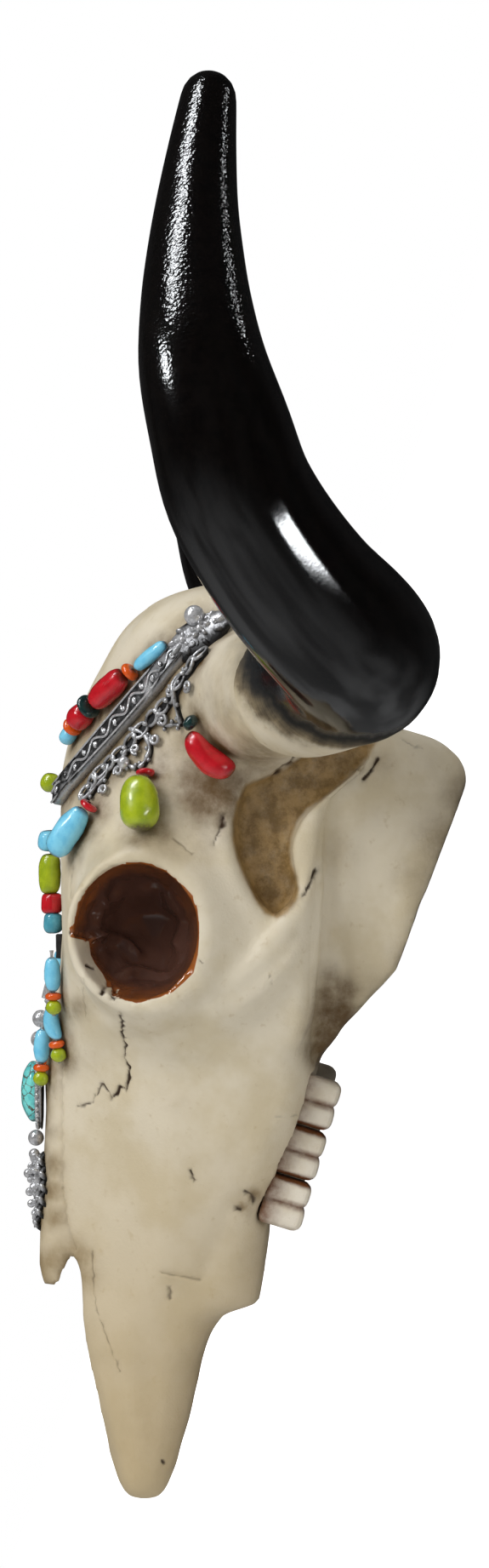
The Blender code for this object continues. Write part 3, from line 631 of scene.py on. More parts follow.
def upright_group():
    """The place on the upright skull in millimetres, and how far out and up it is."""
    group, fed, gives = new_group(
        "stand upright", {"Place": VECTOR}, {"Upright": VECTOR, "Out": NUMBER, "Height": NUMBER}
    )
    stood = add(group, "ShaderNodeMapping", {
        "Vector": fed["Place"], "Location": LAID_AT, "Rotation": (LAID_TURN, 0.0, 0.0), "Scale": (MM, MM, MM),
    }, vector_type="TEXTURE").outputs[0]
    parts = add(group, "ShaderNodeSeparateXYZ", {0: stood}).outputs
    out = add(group, "ShaderNodeMath", {0: parts["X"]}, operation="ABSOLUTE").outputs[0]
    connect(group, gives["Upright"], stood)
    connect(group, gives["Out"], out)
    connect(group, gives["Height"], parts["Z"])
    return group


def mottling_group():
    """Light and dark patches with stained dots, and the fine grain under them."""
    group, fed, gives = new_group(
        "mottling",
        {"Place": VECTOR, "Light": COLOUR, "Dark": COLOUR, "Stain": COLOUR, "Size": NUMBER, "Amount": NUMBER},
        {"Colour": COLOUR, "Grain": NUMBER},
    )
    place = sized(group, fed)
    broad = speckle(group, place, 1.0, 4.0, 0.6)
    fine = speckle(group, place, 7.0, 3.0, 0.6)
    tiny = speckle(group, place, 26.0, 2.0, 0.5)
    patchy = times(group, spread(group, broad, 0.38, 0.66), fed["Amount"])
    colour = blend(group, patchy, fed["Light"], fed["Dark"])
    dots = times(group, spread(group, fine, 0.6, 0.78), fed["Amount"])
    connect(group, gives["Colour"], blend(group, times(group, dots, 0.5), colour, fed["Stain"]))
    connect(group, gives["Grain"], plus(group, times(group, fine, 0.6), times(group, tiny, 0.4)))
    return group


def wash_group():
    """Brown wash rubbed over a colour, broken up by noise."""
    group, fed, gives = new_group(
        "rubbed wash",
        {
            "Place": VECTOR, "Colour": COLOUR, "Wash": COLOUR, "Amount": NUMBER, "Break Up": NUMBER,
            "Size": NUMBER,
        },
        {"Colour": COLOUR},
    )
    uneven = swing(group, speckle(group, sized(group, fed), 1.0, 5.0, 0.65), fed["Break Up"])
    soaked = times(group, fed["Amount"], plus(group, 1.0, times(group, uneven, 3.0)))
    mask = spread(group, soaked, 0.05, 1.0)
    connect(group, gives["Colour"], blend(group, mask, fed["Colour"], fed["Wash"]))
    return group


def root_group():
    """How black the horn is, fading raggedly towards its root, and the streaks along it."""
    group, fed, gives = new_group(
        "horn root", {"Place": VECTOR, "Out": NUMBER, "Height": NUMBER}, {"Black": NUMBER, "Streak": NUMBER}
    )
    streak = speckle(group, vector_maths(group, "MULTIPLY", fed["Place"], ALONG_HORN), 1.0, 4.0, 0.6)
    rings = speckle(group, vector_maths(group, "MULTIPLY", fed["Place"], ROUND_HORN), 1.0, 3.0, 0.6)
    broad = speckle(group, fed["Place"], 0.08, 2.0, 0.5)
    reach = plus(group, fed["Out"], swing(group, streak, ROOT_RAGGED))
    reach = plus(group, reach, swing(group, broad, ROOT_RAGGED))
    above = maths(group, "SUBTRACT", fed["Height"], ROOT_HEIGHT)
    reach = plus(group, reach, times(group, above, ROOT_SLOPE))
    connect(group, gives["Black"], spread(group, reach, ROOT_BONE, ROOT_BLACK))
    connect(group, gives["Streak"], plus(group, times(group, streak, 0.45), times(group, rings, 0.55)))
    return group


GROUPS = {
    "upright": upright_group(),
    "mottling": mottling_group(),
    "wash": wash_group(),
    "root": root_group(),
}


class Finish:
    """One material being put together: its shader, the upright place and short ways to add to it."""

    def __init__(self, name, roughness=0.5, metallic=0.0):
        self.material = bpy.data.materials.new(name)
        self.material.use_nodes = True
        self.tree = self.material.node_tree
        self.shader = self.tree.nodes["Principled BSDF"]
        self.feed("Roughness", roughness)
        self.feed("Metallic", metallic)
        place = self.tree.nodes.new("ShaderNodeTexCoord")
        upright = self.group("upright", {"Place": place.outputs["Object"]})
        self.place, self.out, self.height = upright["Upright"], upright["Out"], upright["Height"]

    def group(self, which, inputs):
        return add(self.tree, "ShaderNodeGroup", inputs, node_tree=GROUPS[which]).outputs

    def mottled(self, tints, size, amount):
        light, dark, stain = tints
        return self.group("mottling", {
            "Place": self.place, "Light": light, "Dark": dark, "Stain": stain, "Size": size, "Amount": amount,
        })

    def washed(self, colour, wash, painted, break_up, size):
        """A colour under wash, where the piece was painted with it."""
        return self.group("wash", {
            "Place": self.place, "Colour": colour, "Wash": wash, "Amount": self.painted(painted),
            "Break Up": break_up, "Size": size,
        })["Colour"]

    def root(self):
        return self.group("root", {"Place": self.place, "Out": self.out, "Height": self.height})

    def painted(self, name):
        return add(self.tree, "ShaderNodeAttribute", attribute_name=name).outputs["Fac"]

    def feed(self, socket, value):
        connect(self.tree, self.shader.inputs[socket], value)

    def bump(self, height, distance, strength):
        inputs = {"Height": height, "Strength": strength, "Distance": distance}
        node = add(self.tree, "ShaderNodeBump", inputs)
        self.feed("Normal", node.outputs["Normal"])


def rgb(*seen):
    """A colour as seen in the photograph, 0 to 255, made linear."""
    shares = [part / 255.0 for part in seen]
    return (*[((s + 0.055) / 1.055) ** 2.4 if s > 0.04 else s / 12.92 for s in shares], 1.0)


# Light, dark and stain of the mottled finishes
BONE_TINTS = (rgb(222, 212, 190), rgb(206, 192, 160), rgb(182, 160, 118))
ROOT_TINTS = (rgb(216, 205, 182), rgb(200, 185, 152), rgb(176, 154, 114))
TOOTH_TINTS = (rgb(238, 230, 214), rgb(222, 210, 186), rgb(190, 168, 132))
STONE_TINTS = (rgb(126, 226, 222), rgb(84, 192, 196), rgb(140, 206, 176))
STRAP_TINTS = (rgb(38, 34, 32), rgb(20, 18, 18), rgb(60, 50, 44))

# Washes and paints
# Brown of the bone's wash, also used for its painted shade
BONE_WASH_AND_SHADE = rgb(102, 76, 38)
TOOTH_WASH = rgb(112, 66, 34)
BEAD_WASH = rgb(58, 40, 26)
SNOUT_TAN = rgb(198, 176, 134)
CORE_SMOKE = rgb(70, 58, 40)
CRACK_BROWN = rgb(58, 38, 20)
STONE_VEIN = rgb(92, 70, 42)
SILVER_DEPTH = rgb(44, 43, 43)

# Pairs of tones that noise blends
TEMPLE_BROWNS = (rgb(124, 98, 56), rgb(168, 138, 90))
VARNISH = (rgb(158, 88, 34), rgb(84, 56, 46))
ROOT_STREAKS = (rgb(138, 122, 92), rgb(84, 72, 52))
HORN_BLACKS = (rgb(4, 3, 3), rgb(10, 7, 6))
SILVER_BRIGHTS = (rgb(240, 240, 242), rgb(186, 186, 188))


def bone_finish():
    """Mottled bone under wash and painted shade, with smoky horn cores, dark cracks and varnished eye
    sockets.
    """
    finish = Finish("cast bone")
    tree = finish.tree
    mottled = finish.mottled(BONE_TINTS, 22.0, 0.8)
    # The wash attribute browns the bone: partly rubbed-in wash, partly painted shade in hollows and round the
    # ornaments
    washed = finish.washed(mottled["Colour"], BONE_WASH_AND_SHADE, "wash", 0.4, 5.0)
    warmed = blend(tree, spread(tree, finish.height, -50.0, -185.0, 0.0, 0.75), washed, SNOUT_TAN)
    streaks = spread(tree, speckle(tree, finish.place, 0.2, 5.0, 0.7), 0.35, 0.65)
    colour = finish.washed(warmed, blend(tree, streaks, *TEMPLE_BROWNS), "temple", 0.3, 4.0)
    core = spread(tree, finish.root()["Black"], 0.0, 1.0, 0.0, 0.8)
    colour = blend(tree, core, colour, CORE_SMOKE)
    colour = blend(tree, spread(tree, finish.painted("crack"), 0.1, 0.9), colour, CRACK_BROWN)
    wet = spread(tree, finish.painted("socket"), 0.35, 0.65)
    uneven = times(tree, speckle(tree, finish.place, 0.25, 4.0, 0.6), 0.5)
    deep = spread(tree, plus(tree, finish.painted("socket_depth"), uneven), 0.3, 0.95)
    finish.feed("Base Color", blend(tree, wet, colour, blend(tree, deep, *VARNISH)))
    rough = plus(tree, 0.42, times(tree, mottled["Grain"], 0.2))
    finish.feed("Roughness", maths(tree, "SUBTRACT", rough, times(tree, wet, 0.42), clamp=True))
    finish.feed("Coat Weight", times(tree, wet, 0.9))
    finish.feed("Coat Roughness", 0.12)
    finish.bump(mottled["Grain"], 0.00035, 0.6)
    return finish.material


def horn_finish():
    """Bone colour at the root, smoked and streaked, then gritty gloss black."""
    finish = Finish("polished black horn", roughness=0.18)
    tree = finish.tree
    root = finish.root()
    mottled = finish.mottled(ROOT_TINTS, 22.0, 0.8)
    streaked = blend(tree, spread(tree, root["Streak"], 0.35, 0.7), *ROOT_STREAKS)
    smoked = blend(tree, spread(tree, root["Black"], 0.0, 0.35), mottled["Colour"], streaked)
    black = blend(tree, spread(tree, mottled["Grain"], 0.3, 0.7), *HORN_BLACKS)
    finish.feed("Base Color", blend(tree, spread(tree, root["Black"], 0.15, 0.8), smoked, black))
    dull = spread(tree, root["Black"], 0.7, 1.0, 0.8, 0.0)
    finish.feed("Roughness", plus(tree, spread(tree, root["Streak"], 0.2, 0.8, 0.1, 0.15), dull))
    upper = spread(tree, finish.height, 78.0, 108.0, 0.05, 1.0)
    grit = times(tree, speckle(tree, finish.place, 1.1, 1.0, 0.5), upper)
    finish.bump(plus(tree, times(tree, root["Streak"], 0.05), grit), 0.0003, 0.55)
    return finish.material


def tooth_finish():
    finish = Finish("tooth enamel", roughness=0.4)
    mottled = finish.mottled(TOOTH_TINTS, 6.0, 0.6)
    finish.feed("Base Color", finish.washed(mottled["Colour"], TOOTH_WASH, "groove", 0.3, 2.0))
    finish.feed("Roughness", spread(finish.tree, mottled["Grain"], 0.3, 0.7, 0.32, 0.5))
    finish.bump(mottled["Grain"], 0.0003, 0.5)
    return finish.material


def silver_finish():
    """Bright where it stands proud, black in the depths."""
    finish = Finish("antiqued silver", roughness=0.3, metallic=0.55)
    tree = finish.tree
    patina = speckle(tree, finish.place, 0.9, 4.0, 0.65)
    proud = plus(tree, finish.painted("proud"), swing(tree, patina, 0.7))
    bright = blend(tree, spread(tree, patina, 0.3, 0.7), *SILVER_BRIGHTS)
    finish.feed("Base Color", blend(tree, spread(tree, proud, 0.25, 0.75), SILVER_DEPTH, bright))
    finish.feed("Roughness", spread(tree, proud, 0.2, 0.9, 0.5, 0.22))
    finish.bump(patina, 0.0003, 0.6)
    return finish.material


def glaze_finish(name, *tints):
    """Glazed beads, with brown wash left at their ends."""
    finish = Finish(name, roughness=0.16)
    mottled = finish.mottled(tints, 3.0, 0.7)
    finish.feed("Base Color", finish.washed(mottled["Colour"], BEAD_WASH, "ends", 0.5, 1.2))
    finish.feed("Roughness", spread(finish.tree, mottled["Grain"], 0.3, 0.75, 0.12, 0.26))
    finish.feed("Coat Weight", 0.6)
    finish.feed("Coat Roughness", 0.06)
    finish.bump(mottled["Grain"], 0.00025, 0.35)
    return finish.material


def turquoise_finish():
    finish = Finish("veined turquoise", roughness=0.22)
    tree = finish.tree
    mottled = finish.mottled(STONE_TINTS, 3.0, 0.9)
    warp = add(tree, "ShaderNodeTexNoise", {"Vector": finish.place, "Scale": 0.5, "Detail": 3.0})
    moved = vector_maths(tree, "MULTIPLY", warp.outputs["Color"], (2.2, 2.2, 2.2))
    inputs = {"Vector": vector_maths(tree, "ADD", finish.place, moved), "Scale": 0.3}
    cells = add(tree, "ShaderNodeTexVoronoi", inputs, feature="DISTANCE_TO_EDGE")
    vein = spread(tree, cells.outputs["Distance"], 0.0, 0.055, 1.0, 0.0)
    finish.feed("Base Color", blend(tree, vein, mottled["Colour"], STONE_VEIN))
    finish.feed("Roughness", spread(tree, vein, 0.0, 1.0, 0.18, 0.5))
    finish.feed("Coat Weight", 0.5)
    finish.bump(vein, -0.0004, 0.5)
    return finish.material


def strap_finish():
    finish = Finish("black leather strap")
    mottled = finish.mottled(STRAP_TINTS, 2.0, 0.8)
    finish.feed("Base Color", mottled["Colour"])
    finish.feed("Roughness", spread(finish.tree, mottled["Grain"], 0.3, 0.7, 0.4, 0.65))
    finish.bump(mottled["Grain"], 0.0004, 0.8)
    return finish.material


# Each finish with its slot
BONE = (bone_finish(), "bone")
HORN_BLACK = (horn_finish(), "horn_black")
TOOTH = (tooth_finish(), "tooth")
SILVER = (silver_finish(), "antique_silver")
TURQUOISE = (turquoise_finish(), "turquoise")
STRAP = (strap_finish(), "strap_black")
SKY_BLUE = (
    glaze_finish("sky blue glaze", rgb(136, 218, 248), rgb(106, 196, 236), rgb(84, 170, 208)),
    "bead_sky_blue",
)
RED = (glaze_finish("red glaze", rgb(204, 24, 38), rgb(176, 12, 26), rgb(140, 10, 18)), "bead_red")
LIME = (glaze_finish("lime glaze", rgb(172, 190, 34), rgb(142, 164, 24), rgb(112, 132, 24)), "bead_lime")
ORANGE = (glaze_finish("orange glaze", rgb(232, 96, 24), rgb(206, 70, 14), rgb(170, 60, 20)), "bead_orange")
DARK_GREEN = (
    glaze_finish("dark green glaze", rgb(28, 58, 56), rgb(14, 38, 40), rgb(10, 22, 24)),
    "bead_dark_green",
)
TEAL = (glaze_finish("teal glaze", rgb(92, 176, 196), rgb(66, 144, 166), rgb(60, 120, 140)), "bead_teal")


# Bone

def crease_sharp_edges(piece):
    """Keeps the cut edges crisp when the surface is rounded."""
    edit(piece)
    bpy.ops.mesh.select_all(action="DESELECT")
    bpy.ops.mesh.select_mode(type="EDGE")
    bpy.ops.mesh.edges_select_sharp(sharpness=math.radians(58.0))
    bpy.ops.transform.edge_crease(value=0.85)
    bpy.ops.mesh.select_mode(type="VERT")
    close()


def refine_near_lines(piece, reach=5.5, cuts=2):
    """Cuts the faces finer along cracks and painted edges, so that grooves can be pressed in."""
    places = corners_of(piece)
    u, v = picture_places(places)
    near = np.zeros(len(u), dtype=bool)
    for *_, line in CRACKS:
        near |= line_distance(u, v, line) < reach
    for outline in (SOCKET, TEMPLE):
        near |= edge_distance(u, v, outline) < reach
    near &= (np.abs(normals_of(piece)[:, 0]) > 0.12) & (np.abs(places[:, 0]) > CRACK_SIDE)
    take(piece)
    piece.data.polygons.foreach_set("select", [False] * len(piece.data.polygons))
    piece.data.edges.foreach_set("select", [False] * len(piece.data.edges))
    piece.data.vertices.foreach_set("select", near)
    bpy.ops.object.mode_set(mode="EDIT")
    bpy.ops.mesh.select_mode(type="VERT")
    bpy.ops.mesh.select_mode(type="FACE")
    bpy.ops.mesh.subdivide(number_cuts=cuts, smoothness=0.0)
    bpy.ops.mesh.select_mode(type="VERT")
    close()


def make_bone():
    bone = upright_copy("skull", "bone")
    crease_sharp_edges(bone)
    round_off(bone, 2)
    apply_modifier(bone, "REMESH", mode="VOXEL", voxel_size=BONE_STEP)
    apply_modifier(bone, "SMOOTH", factor=0.5, iterations=3)
    places = corners_of(bone)
    height = places @ np.array(LAID.to_3x3().normalized())[2] + LAID_AT.z / MM
    slow = lumps(places, 17.0) * 0.55 + lumps(places, 7.0) * 0.22
    push(bone, slow * ramp(height, BACK_FLAT, 3.0))
    refine_near_lines(bone)
    swell(bone)
    return bone


def swell(bone):
    """Raises the soft ridges and sinks the hollows, and roughens the painted eye sockets."""
    places = corners_of(bone)
    u, v = picture_places(places)
    side = np.abs(places[:, 0])
    facing = ramp(np.abs(normals_of(bone)[:, 0]), 0.15, 0.35) * ramp(side, 6.0, 6.0)
    rise = np.zeros(len(u))
    for half, height, line in SWELLS:
        rise += height * mound(line_distance(u, v, line), half)
    within = inside(u, v, SOCKET) & (side > SOCKET_SIDE)
    uneven = lumps(places, 8.0) * 2.4 + lumps(places, 3.5) * 0.7
    rise += np.where(within, uneven * ramp(edge_distance(u, v, SOCKET), 0.0, 12.0), 0.0)
    push(bone, rise * facing)


def press_grooves(bone):
    """Presses the cracks, sutures and pits into the bone and stores where they are."""
    places = corners_of(bone)
    u, v = picture_places(places)
    wander = lumps(places, 1.6) * 2.2
    uneven = 0.8 + lumps(places, 2.6) * 0.9
    facing = ramp(np.abs(normals_of(bone)[:, 0]), 0.1, 0.2) * (np.abs(places[:, 0]) > CRACK_SIDE)
    crack = np.zeros(len(u))
    depth = np.zeros(len(u))
    for width, deep, dark, line in CRACKS:
        distance = line_distance(u + wander, v, line) * POINT
        press = mound(distance, width * np.clip(uneven, 0.4, 1.3)) * facing
        stain = 0.3 * mound(distance, width * 2.6) * facing
        crack = np.maximum(crack, dark * np.maximum(press * np.clip(uneven + 0.25, 0.3, 1.0), stain))
        depth = np.maximum(depth, press * deep)
    push(bone, -depth)
    paint(bone, "crack", crack)
    return u, v


def paint_socket(bone, u, v, side):
    """The varnish covers the outline's inside and the walls that face the socket's middle."""
    edge = edge_distance(u, v, SOCKET)
    within = inside(u, v, SOCKET) & (side > SOCKET_SIDE)
    signed = np.where(within, edge, -edge - 9.0 * (side <= SOCKET_SIDE))
    to_u, to_v = SOCKET_MIDDLE[0] - u, SOCKET_MIDDLE[1] - v
    away = np.hypot(to_u, to_v) + 1e-6
    outward = normals_of(bone)
    inward = (outward[:, 1] * to_u - outward[:, 2] * to_v) / away
    flange = (u < FLANGE[0]) & (v > FLANGE[1])
    wall = (inward > 0.72) & (away < SOCKET_REACH) & (side > WALL_SIDE) & ~flange
    signed = np.where(wall, np.maximum(signed, 6.0), signed)
    paint(bone, "socket", np.clip(0.5 + signed / 3.0, 0, 1))
    paint(bone, "socket_depth", np.clip(signed / 22.0 * 0.6 + ramp(56.0 - side, 0.0, 26.0) * 0.5, 0, 1))


def paint_bone(bone, ornaments):
    """Stores where varnish, the temples' brown and the wash lie. The wash also holds painted shade: inside
    the nasal opening, in recesses, and round the ornaments.
    """
    u, v = press_grooves(bone)
    places = corners_of(bone)
    side = np.abs(places[:, 0])
    paint_socket(bone, u, v, side)
    edge = edge_distance(u, v, TEMPLE)
    signed = np.where(inside(u, v, TEMPLE), edge, -edge)
    paint(bone, "temple", np.clip(0.45 + signed / 7.0, 0, 0.92) * (side > TEMPLE_SIDE))
    # Painted shade, with brown wash, deep inside the nasal opening
    along_nose = ramp(v, NOSE_TOP, 30.0) * ramp(NOSE_END - v, 0.0, 60.0)
    wash = 1.1 * np.exp(-((side / NOSE_HALF) ** 4)) * along_nose
    # Brown wash and painted shade at the listed spots
    for at_u, at_v, reach, strength in WASH_AND_SHADE:
        wash = np.maximum(wash, strength * mound(np.hypot(u - at_u, v - at_v), reach))
    # Round the ornaments: brown wash gathered at their feet, and painted shade where they sit on the bone
    halo = np.array([ornaments.nearest(Vector(p))[2] for p in places])
    paint(bone, "wash", np.maximum(wash, np.maximum(mound(halo, 2.0), 0.66 * mound(halo, 6.0))))


# Horns and teeth

def make_horn():
    rows = curve_through([Vector(row) for row in HORN], 5)
    last, ahead = rows[-1], (rows[-1] - rows[-2]).normalized()
    for share in (0.3, 0.55, 0.75, 0.88, 0.96, 0.995):
        tip = last + ahead * (HORN_TIP * share)
        tip[3] = last[3] * math.sqrt(1 - share * share)
        rows.append(tip)
    horn = wire([row.xyz for row in rows], [row[3] for row in rows], roundness=22)
    horn.name = "horn_sheath_left"
    edit(horn)
    bpy.ops.mesh.remove_doubles(threshold=0.01)
    bpy.ops.mesh.normals_make_consistent(inside=False)
    close()
    apply_modifier(horn, "SMOOTH", factor=0.5, iterations=4)
    return horn


# The tooth row's ends, a tooth's measures, and how deep it sits in the bone
TOOTH_START = Vector((24.0, 18.7, -76.4))
TOOTH_END = Vector((24.0, 6.9, -116.0))
TOOTH_LONG = 13.4
TOOTH_WIDE = 9.2
TOOTH_TALL = 11.8
TOOTH_SUNK = 4.0


def make_tooth(name, index):
    """A molar of two rounded lobes, drawn from a bevelled block cut fine."""
    deselect()
    bpy.ops.mesh.primitive_cube_add(size=2.0)
    tooth = bpy.context.object
    tooth.name = name
    edit(tooth)
    bpy.ops.mesh.bevel(offset=0.3, segments=3, affect="EDGES")
    bpy.ops.mesh.subdivide(number_cuts=5)
    close()
    round_off(tooth, 1)
    along = (TOOTH_END - TOOTH_START).normalized()
    out = Vector((0.0, -along.z, along.y))
    middle = TOOTH_START.lerp(TOOTH_END, (index + 0.5) / 3)
    grooves, moved = [], []
    for a, b, c in corners_of(tooth):
        lobe = max(0.0, 1.0 - abs((abs(a) - 0.5) / 0.53) ** 2.6) ** 0.5
        wide = TOOTH_WIDE / 2 * (0.5 + 0.5 * lobe) * (0.93 + 0.07 * c)
        crown = TOOTH_TALL - TOOTH_SUNK - 1.3 * (1.0 - lobe) - 0.5 * b * b
        tall = -TOOTH_SUNK + (crown + TOOTH_SUNK) * (c + 1) / 2
        wobble = noise.noise(Vector((a * 1.5 + index * 7, b * 1.5, c))) * 0.35
        aside = Vector((b * (wide + wobble), 0, 0))
        moved.append(middle + along * (a * (TOOTH_LONG / 2 - 0.1)) + aside + out * tall)
        gum = max(0.0, 1.0 - (tall + 1.0) / 5.5) * 0.55
        row_end = (index == 0 and a < 0) or (index == 2 and a > 0)
        between = (0.4 if row_end else 1.2) * mound(abs(a) - 1.0, 0.2)
        grooves.append(min(1.0, max(0.75 * mound(a, 0.2), between, gum)))
    set_corners(tooth, np.array(moved))
    paint(tooth, "groove", grooves)
    return tooth


# Beads

def ends_of(bead, half, start):
    """How far each corner lies past a share of the half length, where wash was left."""
    return [max(0.0, (abs(v.co.z) / half - start) * 4.0) for v in bead.data.vertices]


def glazed(node, glaze, fullness, shape=None, bend=0.0, grow=1.0, stretch=1.0):
    """A glazed bead on its CAD bead's place, with wash left at both ends. Bend curves it like a kidney."""
    middle, axis, length, radius = lie_of(node)
    radius, half = radius * grow, length * stretch / 2
    bead = ball((0, 0, 0), (radius, radius, half), 28, 18, fullness, shape)
    ends = ends_of(bead, half, 0.8)
    roughen(bead, radius * 0.9, 0.08 * radius, sum(ord(letter) for letter in node) % 17)
    places = corners_of(bead)
    places[:, 0] += bend * (0.4 - (places[:, 2] / half) ** 2)
    set_corners(bead, places)
    side = Vector((0.0, -axis.z, axis.y)) if axis.y * axis.z < 0 else Vector((0.0, axis.z, -axis.y))
    put(bead, middle, turn_to(axis, side))
    paint(bead, "ends", ends)
    bead.name = f"glazed_{node}"
    settle(bead, glaze, [node])


def make_beads():
    for side in BOTH:
        glazed(f"strand_blue_long_{side}", SKY_BLUE, 2.8)
        glazed(f"strand_orange_{side}", ORANGE, 2.4)
        glazed(f"strand_red_long_{side}", RED, 3.2, grow=1.08)
        glazed(f"strand_dark_green_{side}", DARK_GREEN, 2.3)
        glazed(f"strand_red_short_{side}", RED, 3.0, grow=1.12)
        glazed(f"strand_orange_lower_{side}", ORANGE, 2.4)
        glazed(f"strand_blue_short_{side}", SKY_BLUE, 2.6)
        glazed(f"drop_red_{side}", RED, 2.5, lambda z: 0.9 - 0.1 * z, bend=1.5)
        glazed(f"drop_green_{side}", LIME, 2.5, lambda z: 0.92 - 0.12 * z)
        glazed(f"drop_blue_{side}", SKY_BLUE, 2.7, lambda z: 0.92 - 0.1 * z)
        glazed(f"ring_dark_green_{side}", DARK_GREEN, 2.2, grow=1.3, stretch=1.5)
        glazed(f"ring_red_green_{side}", RED, 2.4)
        glazed(f"ring_red_blue_{side}", RED, 2.4)
    glazed("centre_green", LIME, 2.1)
    glazed("column_blue", SKY_BLUE, 2.6)
    glazed("column_green", LIME, 3.4, stretch=1.05)
    glazed("column_red", RED, 4.0, stretch=1.12)
    glazed("column_teal", TEAL, 3.4, stretch=1.12)


# Beads of a dangle: glaze, height on the pin, radii, fullness
DANGLE = {
    "blue": (SKY_BLUE, 3.0, (2.2, 2.2, 4.6), 2.4),
    "ring": (ORANGE, -2.8, (2.15, 2.15, 1.1), 2.5),
    "green": (LIME, -5.7, (2.1, 2.1, 2.05), 2.0),
}

# The pin's heights with its radius at each
PIN = {-7.9: 0.55, -7.4: 0.35, 7.2: 0.35, 8.6: 0.4, 9.4: 0.55}


def make_dangle(name):
    """A long blue bead, an orange ring and a green ball on one silver pin."""
    node = f"dangle_{name}_left"
    middle, axis, *_ = lie_of(node)
    for label, (glaze, height, radii, fullness) in DANGLE.items():
        bead = ball((0, 0, 0), radii, 24, 16, fullness)
        ends = ends_of(bead, radii[2], 0.82)
        roughen(bead, 1.8, 0.15, height)
        if label == "blue" and name == "middle":
            for vert in bead.data.vertices:
                vert.co.x += 0.06 * vert.co.z ** 2 - 0.5
        put(bead, middle + axis * height, turn_to(axis))
        paint(bead, "ends", ends)
        bead.name = f"dangle_{name}_{label}_left"
        settle_pair(bead, glaze, [node] if label == "blue" else [])
    pin = wire([middle + axis * height for height in PIN], PIN.values())
    paint(pin, "proud", [0.8] * len(pin.data.vertices))
    pin.name = f"dangle_{name}_pin_left"
    settle_pair(pin, SILVER)


# Silver

def finish_silver(parts, name, surface, full, nodes=(), paired=True):
    """Joins a silver piece and stores how far each corner stands off the bone, where it was rubbed bright."""
    piece = join(parts, name)
    paint(piece, "proud", [min(1.0, surface.nearest(v.co)[2] / full) for v in piece.data.vertices])
    (settle_pair if paired else settle)(piece, SILVER, nodes)


def strip_along(places, half_wide, thick):
    """A flat bar with bevelled edges: a block drawn along the places."""
    profile = [(-1.0, -0.5), (1.0, -0.5), (1.0, 0.2), (0.86, 0.5), (-0.86, 0.5), (-1.0, 0.2)]
    points, faces = [], []
    for k, (place, way) in enumerate(places):
        ahead = (places[min(k + 1, len(places) - 1)][0] - places[max(k - 1, 0)][0]).normalized()
        side = ahead.cross(way).normalized()
        points += [place + side * (a * half_wide) + way * (b * thick) for a, b in profile]
    count = len(profile)
    for k in range(len(places) - 1):
        for i in range(count):
            j = (i + 1) % count
            faces.append((k * count + i, k * count + j, (k + 1) * count + j, (k + 1) * count + i))
    faces.append(tuple(reversed(range(count))))
    faces.append(tuple(range(len(points) - count, len(points))))
    mesh = bpy.data.meshes.new("strip")
    mesh.from_pydata(points, [], faces)
    piece = bpy.data.objects.new("strip", mesh)
    bpy.context.scene.collection.objects.link(piece)
    edit(piece)
    bpy.ops.mesh.normals_make_consistent(inside=False)
    close()
    return piece


def frame_at(places, share):
    """Place, way ahead, way aside and way out at a share of a path."""
    at = share * (len(places) - 1)
    k = min(int(at), len(places) - 2)
    t = at - k
    place = places[k][0].lerp(places[k + 1][0], t)
    way = places[k][1].lerp(places[k + 1][1], t).normalized()
    ahead = (places[k + 1][0] - places[k][0]).normalized()
    side = ahead.cross(way).normalized()
    return place, ahead, side, side.cross(ahead).normalized()


# The engraved bar's size and lift off the bone, the vine's bends, and how finely each line is drawn
BAR_WIDE = 6.0
BAR_THICK = 2.8
BAR_LIFT = 0.2
BAR_BENDS = 13
VINE_STEPS = 240
RAIL_STEPS = 60
CURL_STEPS = 14


def make_bar(surface):
    """The engraved bar: a dark bed, two rails, a vine with curls and a row of dots."""
    places = surface.path(BAR, BAR_THICK / 2 + BAR_LIFT, 6)
    parts = [strip_along(places, BAR_WIDE / 2, BAR_THICK)]

    def on_top(share, across, lift):
        place, _, side, way = frame_at(places, share)
        return place + side * across + way * (BAR_THICK / 2 + lift)

    for across in (-0.86, 0.86):
        line = [on_top(k / RAIL_STEPS, across * BAR_WIDE / 2, 0.1) for k in range(RAIL_STEPS + 1)]
        parts.append(wire(line, [0.34] * len(line), 1))
    shares = [k / VINE_STEPS for k in range(VINE_STEPS + 1)]
    vine = [on_top(share, 1.25 * math.sin(math.pi * BAR_BENDS * share), 0.12) for share in shares]
    parts.append(wire(vine, [0.42] * len(vine), 1))
    for bend in range(BAR_BENDS):
        middle = (bend + 0.5) / BAR_BENDS
        hand = 1 if bend % 2 else -1
        curl = []
        for k in range(CURL_STEPS + 1):
            turn = math.pi * 2.3 * k / CURL_STEPS
            reach = 0.95 * (1 - k / 17)
            curl.append(on_top(
                middle + reach * math.sin(turn) * 0.0125, hand * (0.55 + reach * math.cos(turn)), 0.15,
            ))
        parts.append(wire(curl, [0.4 - 0.01 * k for k in range(len(curl))], 1))
        parts.append(round_ball(on_top(middle, hand * 0.55, 0.15), 0.42, 8, 6))
    bar = join(parts, "engraved_bar_left")
    proud = []
    for vert in bar.data.vertices:
        over = surface.nearest(vert.co)[2] - BAR_THICK - BAR_LIFT
        proud.append(0.95 if over > 0.2 else (0.62 if over < -0.3 else 0.3))
    paint(bar, "proud", proud)
    settle_pair(bar, SILVER, ["silver_bar_left"])


LINK_STEPS = 14


def link(length, width, thick):
    """One oval link lying flat along X."""
    turns = [math.tau * k / LINK_STEPS for k in range(LINK_STEPS)]
    points = [(length / 2 * math.cos(turn), width / 2 * math.sin(turn), 0.0) for turn in turns]
    return wire(points, [thick] * LINK_STEPS, 1, closed=True)


